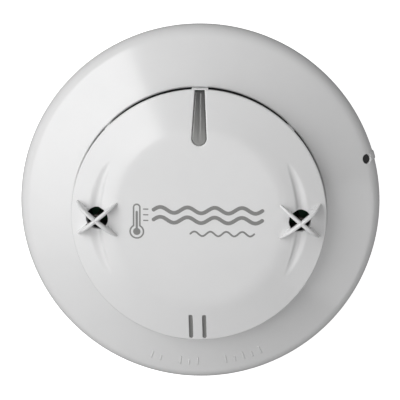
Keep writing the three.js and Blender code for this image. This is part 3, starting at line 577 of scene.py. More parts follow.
# %% Bars that follow the cone
BAR_PROUD = 0.16
BAR_HALF = 0.27
BAR_ROOT = 0.4
BAR_ROUND = 0.2
BAR_CELLS = 7
BAR_INNER, BAR_OUTER, BAR_STAGGER = 42.2, 45.1, 0.9
BAR_GROUPS = [(-107.2, 2, 3.4), (-96.4, 3, 3.2), (-79.5, 5, 3.3)]


def polar_patch(inner, outer, azimuth, half_width, rows=BAR_CELLS, columns=BAR_CELLS):
    """Plan points of a bar: r from inner to outer, and across it r a from -half_width to half_width."""
    ease = np.sin(np.linspace(-math.pi / 2, math.pi / 2, rows))
    r = (inner + outer) / 2 + ease * (outer - inner) / 2
    across = np.sin(np.linspace(-math.pi / 2, math.pi / 2, columns)) * half_width
    r, across = np.meshgrid(r, across, indexing="ij")
    angle = math.radians(azimuth) + across / r
    edge = np.minimum(np.minimum(r - inner, outer - r), half_width - np.abs(across))
    return np.stack([r * np.cos(angle), r * np.sin(angle)], -1).reshape(-1, 2), edge.ravel()


def ring_bar(inner, outer, azimuth):
    """One raised bar: the cone's height plus the relief, less a rounding towards its edges."""
    plan, edge = polar_patch(inner, outer, azimuth, BAR_HALF)
    r = np.hypot(*plan.T)
    crest = ring_cone(r) + BAR_PROUD - rounding(edge, BAR_ROUND)
    root = ring_cone(r) - BAR_ROOT
    points = np.concatenate([np.column_stack([plan, crest]), np.column_stack([plan, root])])
    faces = facing_up(plan, grid_triangles(BAR_CELLS, BAR_CELLS))
    return outward(points, two_layers(faces, len(plan)))


bars = []
for start, count, pitch in BAR_GROUPS:
    for k in range(count):
        bars.append(ring_bar(BAR_INNER + BAR_STAGGER * (k % 2), BAR_OUTER, start + pitch * k))
make_piece("ring_relief_bars", "head", together(bars), white_gloss)

# %% [markdown]
# ## The front cap
# The cap is a shallow dome: a soft-edged crown, a cone, and a lip that stands clear of the ring. It has a
# tapered slot for the indicator lens, two round holes for the thermistors, a crescent dent that runs
# through each hole, and two sunk bars. All of it is one height above the plan, so the cap is a slab. Its
# grid is polar, with the seam laid along the slot, where it opens to leave the slot's outline.

# %% Heights on the cap
CAP_RADIUS = 33.8
SENSOR_PLACE = middle("thermistor_right")[0]
GUARD_TOP = cap_high[2]
GUARD_RISE = 4.15
SENSOR_LEVEL = GUARD_TOP - GUARD_RISE
CONE = math.tan(math.radians(16.5))
CROWN_RADIUS = 22.9
CROWN_RISE = 0.8
CAP_WALL = 1.9
LIP_HEIGHT = 1.1
LIP_FOOT = SENSOR_LEVEL - (CAP_RADIUS - SENSOR_PLACE) * CONE - LIP_HEIGHT
LIP_INNER = 33.0
LIP_ROUND = 0.42
SENSOR_HOLE = 2.95
SLOT_INNER = 19.6
SLOT_ROUND = 1.92
SLOT_OUTER = 1.26
SLOT_CENTRE = SLOT_INNER + SLOT_ROUND
DENT_PATH = 27.2
DENT_HALF = 1.9
DENT_DEPTH = 0.78
DENT_ARC = 34.0
SUNK_BARS = (-1.82, 1.78)
SUNK_HALF = 0.47
SUNK_DEPTH = 0.42
SUNK_INNER, SUNK_OUTER = 26.0, 33.15
SUNK_SPLAY = 0.03


def cap_dome(r):
    """The smaller of the cone and the crown's parabola, with their ridge blended over a millimetre or two."""
    cone = SENSOR_LEVEL + (SENSOR_PLACE - r) * CONE
    edge = SENSOR_LEVEL + (SENSOR_PLACE - CROWN_RADIUS) * CONE
    crown = edge + CROWN_RISE * (1 - (r / CROWN_RADIUS) ** 2)
    blend = 0.42
    share = np.clip(0.5 + (cone - crown) / blend / 2, 0, 1)
    return cone + (crown - cone) * share - blend * share * (1 - share)


def slot_half(y):
    """Half the slot's width at y: a straight taper out from the round end's centre."""
    share = np.clip((y - SLOT_CENTRE) / (CAP_RADIUS - SLOT_CENTRE), 0, 1)
    return SLOT_ROUND + (SLOT_OUTER - SLOT_ROUND) * share


def from_slot(x, y):
    """Distance outside the slot: across its taper, or from its round end's circle."""
    beside = np.abs(x) - slot_half(y)
    below = np.hypot(x, y - SLOT_CENTRE) - SLOT_ROUND
    return np.where(y > SLOT_CENTRE, beside, below)


def from_holes(x, y):
    """Distance outside the nearer thermistor hole."""
    return np.hypot(np.abs(x) - SENSOR_PLACE, y) - SENSOR_HOLE


def dent(x, y):
    """Depth of the crescents: steep on the crown's side, easing out to nothing on the rim's side."""
    r = np.hypot(x, y)
    angle = np.degrees(np.abs(np.arctan2(y, np.abs(x))))
    taper = np.clip(1 - (angle / DENT_ARC) ** 2, 0, 1)
    half = DENT_HALF * np.sqrt(taper) + 1e-6
    across = (r - DENT_PATH - 0.4 * (1 - taper)) / half
    inner = step_up(across, -1, -0.35)
    outer = 1 - step_up(across, -0.2, 1)
    return DENT_DEPTH * taper * np.minimum(inner, outer) * (angle < DENT_ARC)


def sunk(x, y):
    """Depth of the two straight bars near the lower lip."""
    r = np.hypot(x, y)
    depth = 0
    for centre in SUNK_BARS:
        across = np.abs(x - centre - (r - SUNK_INNER) * SUNK_SPLAY)
        inside = 1 - step_up(across, SUNK_HALF - 0.1, SUNK_HALF + 0.1)
        inside = inside * step_up(r, SUNK_INNER, SUNK_INNER + 0.25)
        depth = depth + SUNK_DEPTH * inside * (1 - step_up(r, SUNK_OUTER - 0.25, SUNK_OUTER))
    return depth * (y < 0)


def cap_top(x, y):
    """The outer face: the dome, less the dents, the sunk bars and the roundings at every edge."""
    r = np.hypot(x, y)
    z = cap_dome(r) - dent(x, y) - sunk(x, y)
    z = z - rounding(CAP_RADIUS - r, LIP_ROUND) - rounding(from_slot(x, y), 0.3)
    return z - rounding(from_holes(x, y), 0.18)


def cap_under(x, y):
    """The inner face: the dome moved down by the wall, and flat along the foot of the lip."""
    r = np.hypot(x, y)
    return np.maximum(cap_dome(np.minimum(r, LIP_INNER)) - CAP_WALL * math.hypot(1, CONE), LIP_FOOT)


print("cap lip from", round(float(LIP_FOOT), 2), "to", round(float(cap_dome(CAP_RADIUS)), 2), "mm")


# %% The cap's plan
def slot_opening(r):
    """Angle from the slot's middle line to its edge at radius r, and 0 inside its round end."""
    deep = np.clip(r - SLOT_INNER, 0, SLOT_ROUND)
    end = np.sqrt(np.maximum(SLOT_ROUND**2 - (SLOT_ROUND - deep) ** 2, 0))
    half = np.where(r > SLOT_CENTRE, slot_half(r), end)
    return np.arcsin(np.minimum(half / np.maximum(r, 1e-6), 1))


quarter = np.linspace(0, math.pi / 2, 9)
cap_rows = np.concatenate([
    [0, 0.7, 1.6, 3], np.arange(4.6, 19, 1.5), [19.3],
    SLOT_INNER + SLOT_ROUND * (1 - np.cos(quarter)),
    np.arange(21.9, 25.7, 0.38), np.arange(25.8, 26.35, 0.1), np.arange(26.6, 32.7, 0.33),
    np.arange(32.8, 33.35, 0.1), CAP_RADIUS - LIP_ROUND * (1 - np.sin(quarter)),
])
cap_rows = np.unique(np.round(cap_rows, 6))
seam = np.array([0, 0.02, 0.06, 0.13, 0.24, 0.4, 0.6, 0.9, 1.4, 2.2])
sides = [np.arange(3.4, 172, 1.3), np.arange(172.5, 187.6, 0.22), np.arange(188.4, 356.9, 1.3)]
turns = np.unique(np.round(np.concatenate([seam, 360 - seam, *sides]), 6))


def cap_plan():
    """The cap's plan: a polar grid that opens along the slot, with a ring of cells round each hole."""
    r, turn = np.meshgrid(cap_rows, turns, indexing="ij")
    opening = slot_opening(r)
    angle = math.pi / 2 + opening + turn / 360 * (2 * math.pi - 2 * opening)
    grid = np.stack([r * np.cos(angle), r * np.sin(angle)], -1)
    closed = cap_rows <= SLOT_INNER
    grid[closed, -1] = grid[closed, 0]
    blocks, parts = [], []
    rows = np.flatnonzero(np.abs(cap_rows - SENSOR_PLACE) < 4.6)
    shares = np.array([0, 0.01, 0.03, 0.06, 0.11, 0.19, 0.3, 0.43, 0.57, 0.71, 0.86, 1])
    for hole in (270, 90):
        columns = np.flatnonzero(np.abs(turns - hole) < 10.4)
        blocks.append((rows, columns))
        centre = np.array([SENSOR_PLACE if hole == 270 else -SENSOR_PLACE, 0])
        parts.append(plan_ring(grid, rows, columns, lambda edge: centre, SENSOR_HOLE, shares))
    faces = grid_with_holes(len(cap_rows), len(turns), blocks)
    return together([(grid.reshape(-1, 2), faces), *parts])


cap_skin = slab(*cap_plan(), cap_top, cap_under)
make_piece("front_cap_shell", "head", cap_skin, white_gloss, replaces=["front_cap"])

# %% [markdown]
# ## Guards over the thermistors
# Two thin blades cross over each hole and keep fingers off the bead. Each is a closed loop of points, a
# straight-sided section with a round top, carried along a line through the hole's centre. Its crest is
# nearly level and falls steeply to the cap at both ends, where the blade also thins out.

# %% Crossing blades
BLADE_ANGLE = 39.0
BLADE_REACH = 7.0
BLADE_HALF = 0.52
BLADE_BRIDGE = 1.5
BRIDGE_REACH = 3.2
BLADE_TOP = GUARD_TOP - 0.1
BLADE_ROOT = 1.0


def guard_blade(side, tilt):
    """One blade: the section at s is a loop from its foot up one side, over, and down the other."""
    ends = BRIDGE_REACH + np.array([0, 0.01])
    even = BLADE_REACH * np.sin(np.linspace(-math.pi / 2, math.pi / 2, 41))
    s = np.unique(np.concatenate([even, -ends, ends]))
    x = SENSOR_PLACE + s * math.cos(math.radians(BLADE_ANGLE))
    r = np.hypot(x, s * math.sin(math.radians(BLADE_ANGLE)))
    share = np.abs(s) / BLADE_REACH
    cap = cap_dome(np.minimum(r, CAP_RADIUS - 0.3))
    crest = cap + (BLADE_TOP - cap) * np.clip(1 - share**3.2, 0, 1) ** 0.75
    half = BLADE_HALF * (1 - 0.55 * share**3)
    bridge = GUARD_TOP - BLADE_BRIDGE - 0.7 * share
    foot = np.where(np.abs(s) <= BRIDGE_REACH, bridge, cap - BLADE_ROOT)
    top = np.maximum(crest, foot + 0.9)
    arc = np.linspace(math.pi, 0, 9)
    across = np.concatenate([[-1], np.cos(arc), [1]])
    level = np.concatenate([[0], np.sin(arc), [0]])
    w = half[:, None] * across
    z = (top - half)[:, None] + half[:, None] * level
    z[:, 0] = foot
    z[:, -1] = foot
    w = np.column_stack([w, w[:, 0]])
    z = np.column_stack([z, z[:, 0]])
    along = np.repeat(s[:, None], w.shape[1], 1)
    loop = np.stack([along, w, z], -1)
    ends = [np.broadcast_to(loop[i].mean(0), loop[i].shape)[None] for i in (0, -1)]
    loop = np.concatenate([ends[0], loop, ends[1]])
    loop = swung(loop, 0, 1, math.radians(tilt)) + [SENSOR_PLACE, 0, 0]
    return closed_grid(loop * [side, side, 1])


for side, name in ((1, "right"), (-1, "left")):
    blades = [guard_blade(side, tilt) for tilt in (BLADE_ANGLE, -BLADE_ANGLE)]
    make_piece(f"sensor_guard_{name}", "head", together(blades), white_gloss, sharp=50)

# %% [markdown]
# ## Legs and the lens cradle
# Four flat legs carry the cap, and a narrow cradle runs down beside the lens. They are what breaks the
# dark line round the cap. Round-edged boxes are enough: a sphere whose octants are pulled apart.


# %% Legs and cradle
def block_piece(low, high, radius, azimuth=0.0):
    """A round-edged box from its low to its high corner, turned about Z by an azimuth in degrees."""
    low, high = np.array(low, float), np.array(high, float)
    ball, pulled = softened_box(high - low, radius)
    points = swung(ball + pulled + (low + high) / 2, 0, 1, math.radians(azimuth))
    points[:, -1] = points[:, 0]
    return closed_grid(points)


LEG_FOOT = cap_low[2]
LEG_REACH = MOUTH_RADIUS - 0.06
LEG_DEPTH, LEG_HALF, LEG_TOP = 1.6, 0.92, LIP_FOOT + 0.62
CRADLE_INNER, CRADLE_SIDE, CRADLE_HALF, CRADLE_TOP = 28.5, 1.72, 0.42, LIP_FOOT + 0.75
END_WALL, END_HALF = 0.36, 1.75

leg_low = (LEG_REACH - LEG_DEPTH, -LEG_HALF, LEG_FOOT)
legs = [block_piece(leg_low, (LEG_REACH, LEG_HALF, LEG_TOP), 0.08, a) for a in (45, 135, 225, 315)]
cradle = []
for side in (-CRADLE_SIDE, CRADLE_SIDE):
    wall_low = (CRADLE_INNER, side - CRADLE_HALF, LEG_FOOT)
    wall_high = (LEG_REACH, side + CRADLE_HALF, CRADLE_TOP)
    cradle.append(block_piece(wall_low, wall_high, 0.1, 90))
end_low = (LEG_REACH - END_WALL, -END_HALF, LEG_FOOT)
cradle.append(block_piece(end_low, (LEG_REACH, END_HALF, CRADLE_TOP), 0.1, 90))
make_piece("cap_legs", "head", together(legs + cradle), white_gloss)

# %% [markdown]
# ## The indicator lens
# The lens is a clear moulded light guide that lies a little below the cap's face, with a stem down to the
# lamp on the board. Its top has a shallow groove along the middle and round edges.

# %% Lens
LENS_RECESS = 0.14
LENS_FIT = 0.07
LENS_INNER, LENS_HALF, LENS_TIP = SLOT_INNER + LENS_FIT, SLOT_ROUND - LENS_FIT, SLOT_OUTER - LENS_FIT
LENS_END = 33.3
LENS_DEPTH = 2.1
STEM_FROM, STEM_TO, STEM_TOP = 28.4, 32.6, 1.6
STEM_FOOT = span("light_pipe")[0][2]


def lens_half(y):
    """Half the lens's width at y: a quarter circle at its inner end, then a straight taper."""
    deep = np.clip(y - LENS_INNER, 0, LENS_HALF)
    end = np.sqrt(np.maximum(LENS_HALF**2 - (LENS_HALF - deep) ** 2, 0))
    share = np.clip((y - LENS_INNER - LENS_HALF) / (LENS_END - LENS_INNER - LENS_HALF), 0, 1)
    return np.where(y < LENS_INNER + LENS_HALF, end, LENS_HALF + (LENS_TIP - LENS_HALF) * share)


def lens():
    """A slab on the lens's plan, and the stem as a second slab under its outer end."""
    round_end = LENS_INNER + LENS_HALF * (1 - np.cos(quarter))
    square_end = LENS_END - 0.25 * (1 - np.sin(quarter))
    y = np.concatenate([round_end, np.arange(21.9, LENS_END - 0.3, 0.4), square_end])
    across = np.sin(np.linspace(-math.pi / 2, math.pi / 2, 23))
    y_grid, share = np.meshgrid(y, across, indexing="ij")
    plan = np.stack([share * lens_half(y_grid), y_grid], -1).reshape(-1, 2)

    def top(x, y):
        """The dome, less the recess, the rounding at the edges and a groove exp(-(x/0.28)^2)."""
        half = np.maximum(lens_half(y), 0.05)
        edge = np.minimum(half - np.abs(x), LENS_END - y)
        groove = 0.1 * np.exp(-((x / 0.28) ** 2)) * step_up(y, LENS_INNER + 0.6, LENS_INNER + 2)
        return cap_dome(np.hypot(x, y)) - LENS_RECESS - rounding(edge, 0.35) - groove

    def below(depth):
        """The dome moved down by a depth."""
        return lambda x, y: cap_dome(np.hypot(x, y)) - depth

    head = slab(plan, grid_triangles(len(y), len(across)), top, below(LENS_DEPTH))
    stem_y = np.linspace(STEM_FROM, STEM_TO, 6)
    y_grid, share = np.meshgrid(stem_y, np.linspace(-1, 1, 5), indexing="ij")
    plan = np.stack([share * (lens_half(y_grid) - 0.05), y_grid], -1).reshape(-1, 2)
    stem = slab(plan, grid_triangles(6, 5), below(STEM_TOP), lambda x, y: STEM_FOOT + 0 * x)
    return together([head, stem])


def clear_plastic(name, near, far, clarity):
    """A clear moulding whose colour darkens along y from near to far as painted shade, with faint streaks and
    waves in it.
    """
    made = Finish(name, roughness=0.1, ior=1.5, transmission_weight=clarity)
    streak = made.noise(1.2, 3, stretch=(2.2, 0.35, 1))
    y = made.node("ShaderNodeSeparateXYZ", inputs={"Vector": made.place}, output=1)
    # Painted shade: the colour runs from the lighter near end to the dark far end, where the dark inside
    # shows through the lens.
    along = (y - LENS_INNER * MM) * (1 / ((LENS_END - LENS_INNER) * MM)) + 0.3 * (streak - 0.5)
    made.feed(base_color=made.between(near, far, along))
    return made.relief(made.noise(0.8, 2), 0.006).material


lens_clear = clear_plastic("clear_lens_with_painted_shade", (0.40, 0.40, 0.39), (0.13, 0.13, 0.13), 0.3)
make_piece("indicator_lens", "head", lens(), lens_clear, replaces=["light_pipe"])

# %% [markdown]
# ## Printing on the crown
# The crown carries plain printing: a thermometer and lines of rising heat. The two sunk bars are filled
# with the same ink. Each stroke is a ribbon along a path, a few hundredths of a millimetre high.


# %% Ink strokes
def stroke(path_points, half_width, across=5):
    """A ribbon on the crown: the path moved by -w to w along its normal, with half-round ends."""
    line = np.asarray(path_points, float)
    way = np.gradient(line, axis=0)
    way = way / np.linalg.norm(way, axis=1)[:, None]
    side = np.stack([-way[:, 1], way[:, 0]], 1)
    arc = np.linspace(0, math.pi / 2, 6)
    head = line[0] - way[0] * half_width * np.cos(arc)[:, None]
    tail = line[-1] + way[-1] * half_width * np.cos(arc[::-1])[:, None]
    width = np.concatenate([np.sin(arc), np.ones(len(line)), np.sin(arc[::-1])]) * half_width
    line = np.concatenate([head, line, tail])
    side = np.concatenate([np.repeat(side[:1], 6, 0), side, np.repeat(side[-1:], 6, 0)])
    share = np.linspace(-1, 1, across)
    plan = line[:, None, :] + side[:, None, :] * (width[:, None] * share)[..., None]
    faces = grid_triangles(len(line), across)
    return slab(plan.reshape(-1, 2), faces, ink_top, ink_foot)


INK_HEIGHT, INK_ROOT = 0.03, 0.06


def ink_top(x, y):
    """A little above the crown."""
    return cap_top(x, y) + INK_HEIGHT


def ink_foot(x, y):
    """A little under the crown, so that no gap shows."""
    return cap_top(x, y) - INK_ROOT


def wave(left, right, level, swell, length):
    """A heat line: y = level + swell sin(2 pi x / length)."""
    x = np.linspace(left, right, 90)
    return np.column_stack([x, level + swell * np.sin(2 * math.pi * (x - left) / length)])


def tube_outline():
    """The thermometer's outline in two paths: the round bulb, and the narrow tube with its round top."""
    angle = np.radians(np.linspace(62, -242, 60))
    ball = np.array([TUBE_X, BULB_Y]) + BULB_RADIUS * np.stack([np.cos(angle), np.sin(angle)], 1)
    cap_angle = np.radians(np.linspace(180, 0, 20))
    dome = np.stack([np.cos(cap_angle), np.sin(cap_angle)], 1)
    round_top = np.array([TUBE_X, TUBE_TOP]) + TUBE_HALF * dome
    return ball, np.concatenate([ball[-1:], round_top, ball[:1]])


TUBE_X, TUBE_TOP, TUBE_HALF = -16.0, 3.4, 0.82
BULB_Y, BULB_RADIUS = -3.0, 1.75
BAR_INK_HALF = 0.52
WAVES = [
    (-11.6, 16.6, 2.9, 0.75, 7.05, 0.5),
    (-11.6, 16.6, 0.3, 0.75, 7.05, 0.5),
    (-2.0, 14.6, -3.3, 0.6, 4.15, 0.24),
]
TICK_TOP, TICK_STEP = 3.0, 1.5

print_strokes = [
    *(stroke(line, 0.2) for line in tube_outline()),
    stroke([(TUBE_X, BULB_Y), (TUBE_X, -2.4), (TUBE_X, 0), (TUBE_X, 2.2)], 0.3),
    stroke([(TUBE_X - 0.02, BULB_Y), (TUBE_X + 0.02, BULB_Y)], 0.95),
]
for *place, half_width in WAVES:
    print_strokes.append(stroke(wave(*place), half_width))
for centre in SUNK_BARS:
    r = np.linspace(SUNK_INNER + 0.55, SUNK_OUTER - 0.55, 20)
    path_points = np.column_stack([centre + (r - SUNK_INNER) * SUNK_SPLAY, -r])
    print_strokes.append(stroke(path_points, BAR_INK_HALF))
for k in range(3):
    level = TICK_TOP - TICK_STEP * k
    print_strokes.append(stroke([(-14.2, level), (-13.1, level)], 0.16))
make_piece("crown_print", "head", together(print_strokes), grey_ink)

# %% [markdown]
# ## The base
# The base is a shallow tray: a round wall, a floor with the cable hole and four mounting slots, and a
# collar with ledges that hold the head's lugs. One sheet would be hard to follow, so it is built as the
# moulder would name it, part by part, in closed bodies that run a little way into each other.


# %% Bodies turned part of the way round
BASE_RADIUS = (base_high - base_low)[0] / 2
BASE_TOP = base_high[2]
CABLE_HOLE, FLOOR_TOP, WALL = 14.0, 2.0, 2.0
SLOT_FROM, SLOT_TO, SLOT_HALF = 27.0, 33.0, 2.3
COLLAR_IN, COLLAR_OUT, COLLAR_TOP = 40.2, 41.8, BASE_TOP - 0.4
LEDGE_IN, LEDGE_FOOT = 36.3, BASE_TOP - 1.9
POST_TOP = 3.7
CAST_FROM = 1.0
POST_INNER, POST_OUTER, POST_HALF = 17.0, 32.2, 4.0
STOP_TURN = 9.5


def bent_bar(line, azimuth, width, steps=12):
    """A closed outline of (radius, height) swept round Z over a width in degrees, its ends closed."""
    line = np.concatenate([line, line[:1]])
    angle = np.radians(azimuth + np.linspace(-width / 2, width / 2, steps))[:, None]
    r, z = line[:, 0], line[:, 1]
    loop = np.stack([r * np.cos(angle), r * np.sin(angle), z + 0 * angle], -1)
    first, last = (np.broadcast_to(loop[i, :-1].mean(0), loop[i].shape)[None] for i in (0, -1))
    return closed_grid(np.concatenate([first, loop, last]))


def soft_section(inner, outer, bottom, top, radius=0.2):
    """A rectangle in (radius, height) with rounded corners."""
    corners = [(inner, bottom), (outer, bottom), (outer, top), (inner, top)]
    return filleted(corners, [radius] * 4, 4)


def floor_plan():
    """A polar grid from the cable hole out to the wall, with a ring of cells round each slot."""
    outside = np.arange(39, BASE_RADIUS - 1, 1.0)
    rows = np.concatenate([np.arange(CABLE_HOLE, 22, 1.0), np.arange(22, 38.01, 0.5), outside])
    columns = np.arange(0, 361.0, 1.5)
    r, angle = np.meshgrid(rows, np.radians(columns - 45), indexing="ij")
    grid = np.stack([r * np.cos(angle), r * np.sin(angle)], -1)
    grid[:, -1] = grid[:, 0]
    blocks, parts = [], []
    shares = np.array([0, 0.04, 0.12, 0.25, 0.45, 0.7, 1])
    inside = np.flatnonzero((rows > 23.9) & (rows < 36.1))
    for place in (45, 135, 225, 315):
        beside = np.flatnonzero(np.abs(columns - place) < 8)
        blocks.append((inside, beside))
        turn = math.radians(place - 45)
        along = np.array([math.cos(turn), math.sin(turn)])

        def middle_line(edge):
            """The nearest point of the slot's middle line."""
            return np.clip(edge @ along, SLOT_FROM, SLOT_TO)[:, None] * along

        parts.append(plan_ring(grid, inside, beside, middle_line, SLOT_HALF, shares))
    return together([(grid.reshape(-1, 2), grid_with_holes(len(rows), len(columns), blocks)), *parts])


floor_skin = slab(*floor_plan(), lambda x, y: FLOOR_TOP + 0 * x, lambda x, y: 0 * x)
wall_line = filleted(
    [(BASE_RADIUS, 0), (BASE_RADIUS, BASE_TOP), (BASE_RADIUS - WALL, BASE_TOP), (BASE_RADIUS - WALL, 0)],
    [0.5, 0.3, 0.3, 0], 6)
collar_line = soft_section(COLLAR_IN, COLLAR_OUT, CAST_FROM, COLLAR_TOP)
base_parts = [floor_skin, turned(wall_line), turned(collar_line)]
grip = (COLLAR_IN + COLLAR_OUT) / 2
ledge_line = soft_section(LEDGE_IN, grip, LEDGE_FOOT, COLLAR_TOP)
stop_line = soft_section(LEDGE_IN, grip, CAST_FROM, COLLAR_TOP - 0.01)
rib_line = soft_section(grip, BASE_RADIUS - 1, CAST_FROM, LEDGE_FOOT)
for lug in (90, 210, 330):
    base_parts.append(bent_bar(ledge_line, lug, 18))
    base_parts.append(bent_bar(stop_line, lug - STOP_TURN, 3))
    base_parts.append(bent_bar(rib_line, lug, 2))
for azimuth in (45, 135, 225, 315):
    post_low, post_high = (POST_INNER, -POST_HALF, CAST_FROM), (POST_OUTER, POST_HALF, POST_TOP)
    base_parts.append(block_piece(post_low, post_high, 0.25, azimuth))

# The lever's two ears, each four blocks round a square bore for the pin.
LEVER_LINE, LEVER_TURN, PIN_Y, PIN_Z, BORE = 44.02, 26.1, 6.5, 6.0, 1.08
ROUND_BORE = [(-2, 2, -5, -BORE), (-2, 2, BORE, 1.8), (-2, -BORE, -1.4, 1.4), (BORE, 2, -1.4, 1.4)]
for near_side, far_side in ((-4.18, -1.9), (1.9, 4.18)):
    for y0, y1, z0, z1 in ROUND_BORE:
        low = (LEVER_LINE + near_side, PIN_Y + y0, PIN_Z + z0)
        high = (LEVER_LINE + far_side, PIN_Y + y1, PIN_Z + z1)
        base_parts.append(block_piece(low, high, 0.1, LEVER_TURN))
make_piece("base_moulding", "base", together(base_parts), white_satin, replaces=["base_body"])

# %% [markdown]
# ## Finishes for the frame's own nodes
# The parts inside are seen through the air slot, the holes or the cable entry.
# Their shapes are right as they are, so they keep them and get real finishes.


# %% Metals, board, glass and components
def metal(name, light, dark, gloss, swing, grain):
    """Rolled or turned metal: fine drawn lines, a little tarnish and uneven gloss."""
    made = Finish(name, metallic=1.0)
    tarnish = made.noise(3.5, 4)
    lines = made.noise(0.18, 2, stretch=(1, 6, 1))
    made.feed(base_color=made.between(light, dark, tarnish))
    made.feed(roughness=gloss - swing / 2 + swing * lines)
    return made.relief(lines, grain).material


def painted(name, light, dark, gloss, size, peel, **uniform):
    """A coated or moulded component: two close colours, wandering gloss and a fine skin."""
    made = Finish(name, **uniform)
    spread = made.noise(size, 4)
    made.feed(base_color=made.between(light, dark, spread))
    made.feed(roughness=gloss - 0.05 + 0.1 * made.noise(size / 2, 3))
    return made.relief(made.noise(size / 6, 2), peel).material


finishes = {
    "housing": white_satin,
    "shroud": black_satin,
    "shell": white_gloss,
    "lens": lens_clear,
    "bead": painted("dark_epoxy", (0.02, 0.014, 0.01), (0.035, 0.024, 0.016), 0.25, 0.8, 0.01),
    "board": painted("green_solder_mask", (0.01, 0.12, 0.04), (0.014, 0.16, 0.055), 0.35, 3.0, 0.01),
    "chip": painted("chip_epoxy", (0.014, 0.014, 0.015), (0.024, 0.024, 0.025), 0.55, 0.6, 0.008),
    "led": painted("lamp_resin", (0.82, 0.81, 0.72), (0.74, 0.73, 0.64), 0.2, 0.8, 0.004),
    "glass": painted(
        "reed_glass", (0.4, 0.5, 0.44), (0.34, 0.44, 0.38), 0.1, 1.0, 0.002, transmission_weight=0.6),
    "can": painted("capacitor_sleeve", (0.02, 0.024, 0.035), (0.03, 0.034, 0.048), 0.4, 1.2, 0.01),
    "suppressor": painted("blue_disc_coating", (0.03, 0.11, 0.36), (0.04, 0.14, 0.43), 0.35, 1.2, 0.02),
    "switch_body": painted(
        "switch_body_plastic", (0.014, 0.014, 0.017), (0.022, 0.022, 0.026), 0.5, 0.8, 0.008),
    "rotor": painted("rotor_plastic", (0.76, 0.73, 0.62), (0.7, 0.67, 0.56), 0.42, 0.8, 0.006),
    "brass": metal("sheet_brass", (0.74, 0.56, 0.27), (0.6, 0.43, 0.19), 0.28, 0.14, 0.003),
    "tin": metal("tinned_steel", (0.62, 0.61, 0.58), (0.5, 0.49, 0.47), 0.34, 0.16, 0.003),
    "steel": metal("bright_steel", (0.66, 0.66, 0.66), (0.56, 0.56, 0.57), 0.26, 0.14, 0.002),
}
slot_of = {part["node"]: part["material_slot"] for part in frame["record"]["subparts"]}
dressed = 0
for node, thing in frame["nodes"].items():
    if thing.hide_render:
        continue
    thing.data.materials.clear()
    thing.data.materials.append(finishes[slot_of[node]])
    dressed += 1
print(dressed, "frame nodes dressed")

# %% [markdown]
# ## Studio
# The detector lies on its back on a bright table. Overhead hangs a glowing sheet whose light fades with
# the angle round it, from a bright straight edge at the upper left. That edge draws the sharp line across
# the gloss of the ring and the cap. A dimmer disc fills the middle and a softbox stands low on the right.
# The camera looks down from a little above the lens side.

# %% Table, lights and camera
table_mesh = bpy.data.meshes.new("table")
reach = 3.0
table_corners = [(x * reach, y * reach, -0.3 * MM) for x, y in ((-1, -1), (1, -1), (1, 1), (-1, 1))]
table_mesh.from_pydata(table_corners, [], [(0, 1, 2, 3)])
table = bpy.data.objects.new("table", table_mesh)
bpy.context.scene.collection.objects.link(table)
table_paper = Finish("table_paper", roughness=0.9, emission_color=(1, 1, 1, 1), emission_strength=0.95)
mottle = table_paper.noise(30, 3)
table_paper.feed(base_color=table_paper.between((0.5, 0.5, 0.5), (0.46, 0.46, 0.46), mottle))
table_mesh.materials.append(table_paper.material)
table.visible_diffuse = False
table.visible_glossy = False


def softbox(name, centre, size, radiance, aim):
    """A rectangular light whose face has a given radiance: power = radiance x area x pi."""
    lamp = bpy.data.lights.new(name, "AREA")
    lamp.shape = "RECTANGLE"
    lamp.size, lamp.size_y = size
    lamp.energy = radiance * size[0] * size[1] * math.pi
    thing = bpy.data.objects.new(name, lamp)
    thing.location = centre
    thing.rotation_euler = (Vector(aim) - Vector(centre)).to_track_quat("-Z", "Y").to_euler()
    thing.visible_camera = False
    bpy.context.scene.collection.objects.link(thing)


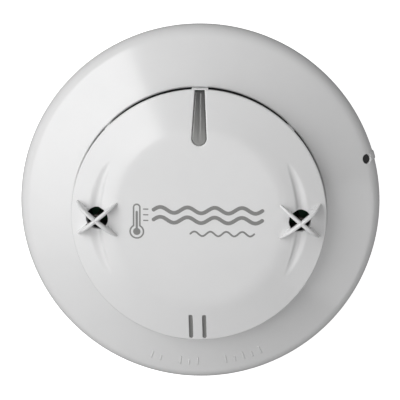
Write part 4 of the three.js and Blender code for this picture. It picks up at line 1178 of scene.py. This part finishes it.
def light_sheet(name, inner, outer, first, last, strength, fade):
    """A flat glowing sector overhead, whose glow is 1 - fade x its share of the angle."""
    angle, radius = np.meshgrid(np.radians(np.linspace(first, last, 49)), np.linspace(inner, outer, 13))
    x, y = SHEET_X + radius * np.cos(angle), radius * np.sin(angle)
    points = np.stack([x, y, SHEET_HEIGHT + 0 * angle], -1)
    mesh = bpy.data.meshes.new(name)
    mesh.from_pydata(points.reshape(-1, 3).tolist(), [], grid_triangles(13, 49).tolist())
    share = np.tile(np.linspace(0, 1, 49), 13)
    glow = mesh.attributes.new("glow", "FLOAT", "POINT")
    glow.data.foreach_set("value", (1 - fade * share).astype(np.float32))
    made = Finish(name, base_color=(0, 0, 0, 1), roughness=1.0, emission_strength=strength)
    made.feed(emission_color=made.node("ShaderNodeAttribute", {"attribute_name": "glow"}, output=2))
    mesh.materials.append(made.material)
    sheet = bpy.data.objects.new(name, mesh)
    bpy.context.scene.collection.objects.link(sheet)
    sheet.visible_camera = False


SHEET_X, SHEET_HEIGHT = -0.07, 1.0
light_sheet("left_sheet", 0.36, 2.4, 118, 245, 4.75, 1)
light_sheet("middle_sheet", 0.0, 0.36, 0, 360, 0.92, 0)
softbox("right_softbox", (1.35, -0.6, 0.7), (1.2, 1.2), 1.2, aim=(0, 0, 0))

world = bpy.data.worlds.new("studio")
bpy.context.scene.world = world
world.use_nodes = True
sky = world.node_tree
backdrop = sky.nodes.new("ShaderNodeMix")
backdrop.data_type = "RGBA"
backdrop.inputs[6].default_value = (0.166, 0.166, 0.166, 1)
backdrop.inputs[7].default_value = (0.92, 0.92, 0.92, 1)
sky.links.new(sky.nodes.new("ShaderNodeLightPath").outputs["Is Camera Ray"], backdrop.inputs[0])
sky.links.new(backdrop.outputs[2], sky.nodes["Background"].inputs["Color"])
sky.nodes["Background"].inputs["Strength"].default_value = 1.0

TILT = math.radians(11)
LEAN = math.radians(1.0)
ROLL = math.radians(0.6)
FIELD = 908.7 / 400  # focal length in picture widths
DISTANCE = 2.647 * (frame_high - frame_low).x
toward = Vector((math.sin(LEAN), math.sin(TILT) * math.cos(LEAN), math.cos(TILT) * math.cos(LEAN)))
aim_at = Vector((-0.15 * MM, -0.52 * MM, 0.1 * MM))
camera_data = bpy.data.cameras.new("camera")
camera_data.sensor_width = 36
camera_data.lens = camera_data.sensor_width * FIELD
camera_data.clip_start, camera_data.clip_end = 0.01, 20
camera = bpy.data.objects.new("camera", camera_data)
camera.location = aim_at + toward * DISTANCE
across = Vector((0, 1, 0)).cross(toward).normalized()
upward = toward.cross(across)
rolled = upward * math.cos(ROLL) - across * math.sin(ROLL)
camera.rotation_euler = Matrix((rolled.cross(toward), rolled, toward)).transposed().to_euler()
bpy.context.scene.collection.objects.link(camera)
bpy.context.scene.camera = camera
bpy.context.scene.view_settings.view_transform = "Standard"
print("camera", [round(v, 4) for v in camera.location])

# %% Sizes and finish
print("frame box", [round(v, 5) for v in (*frame_low, *frame_high)])
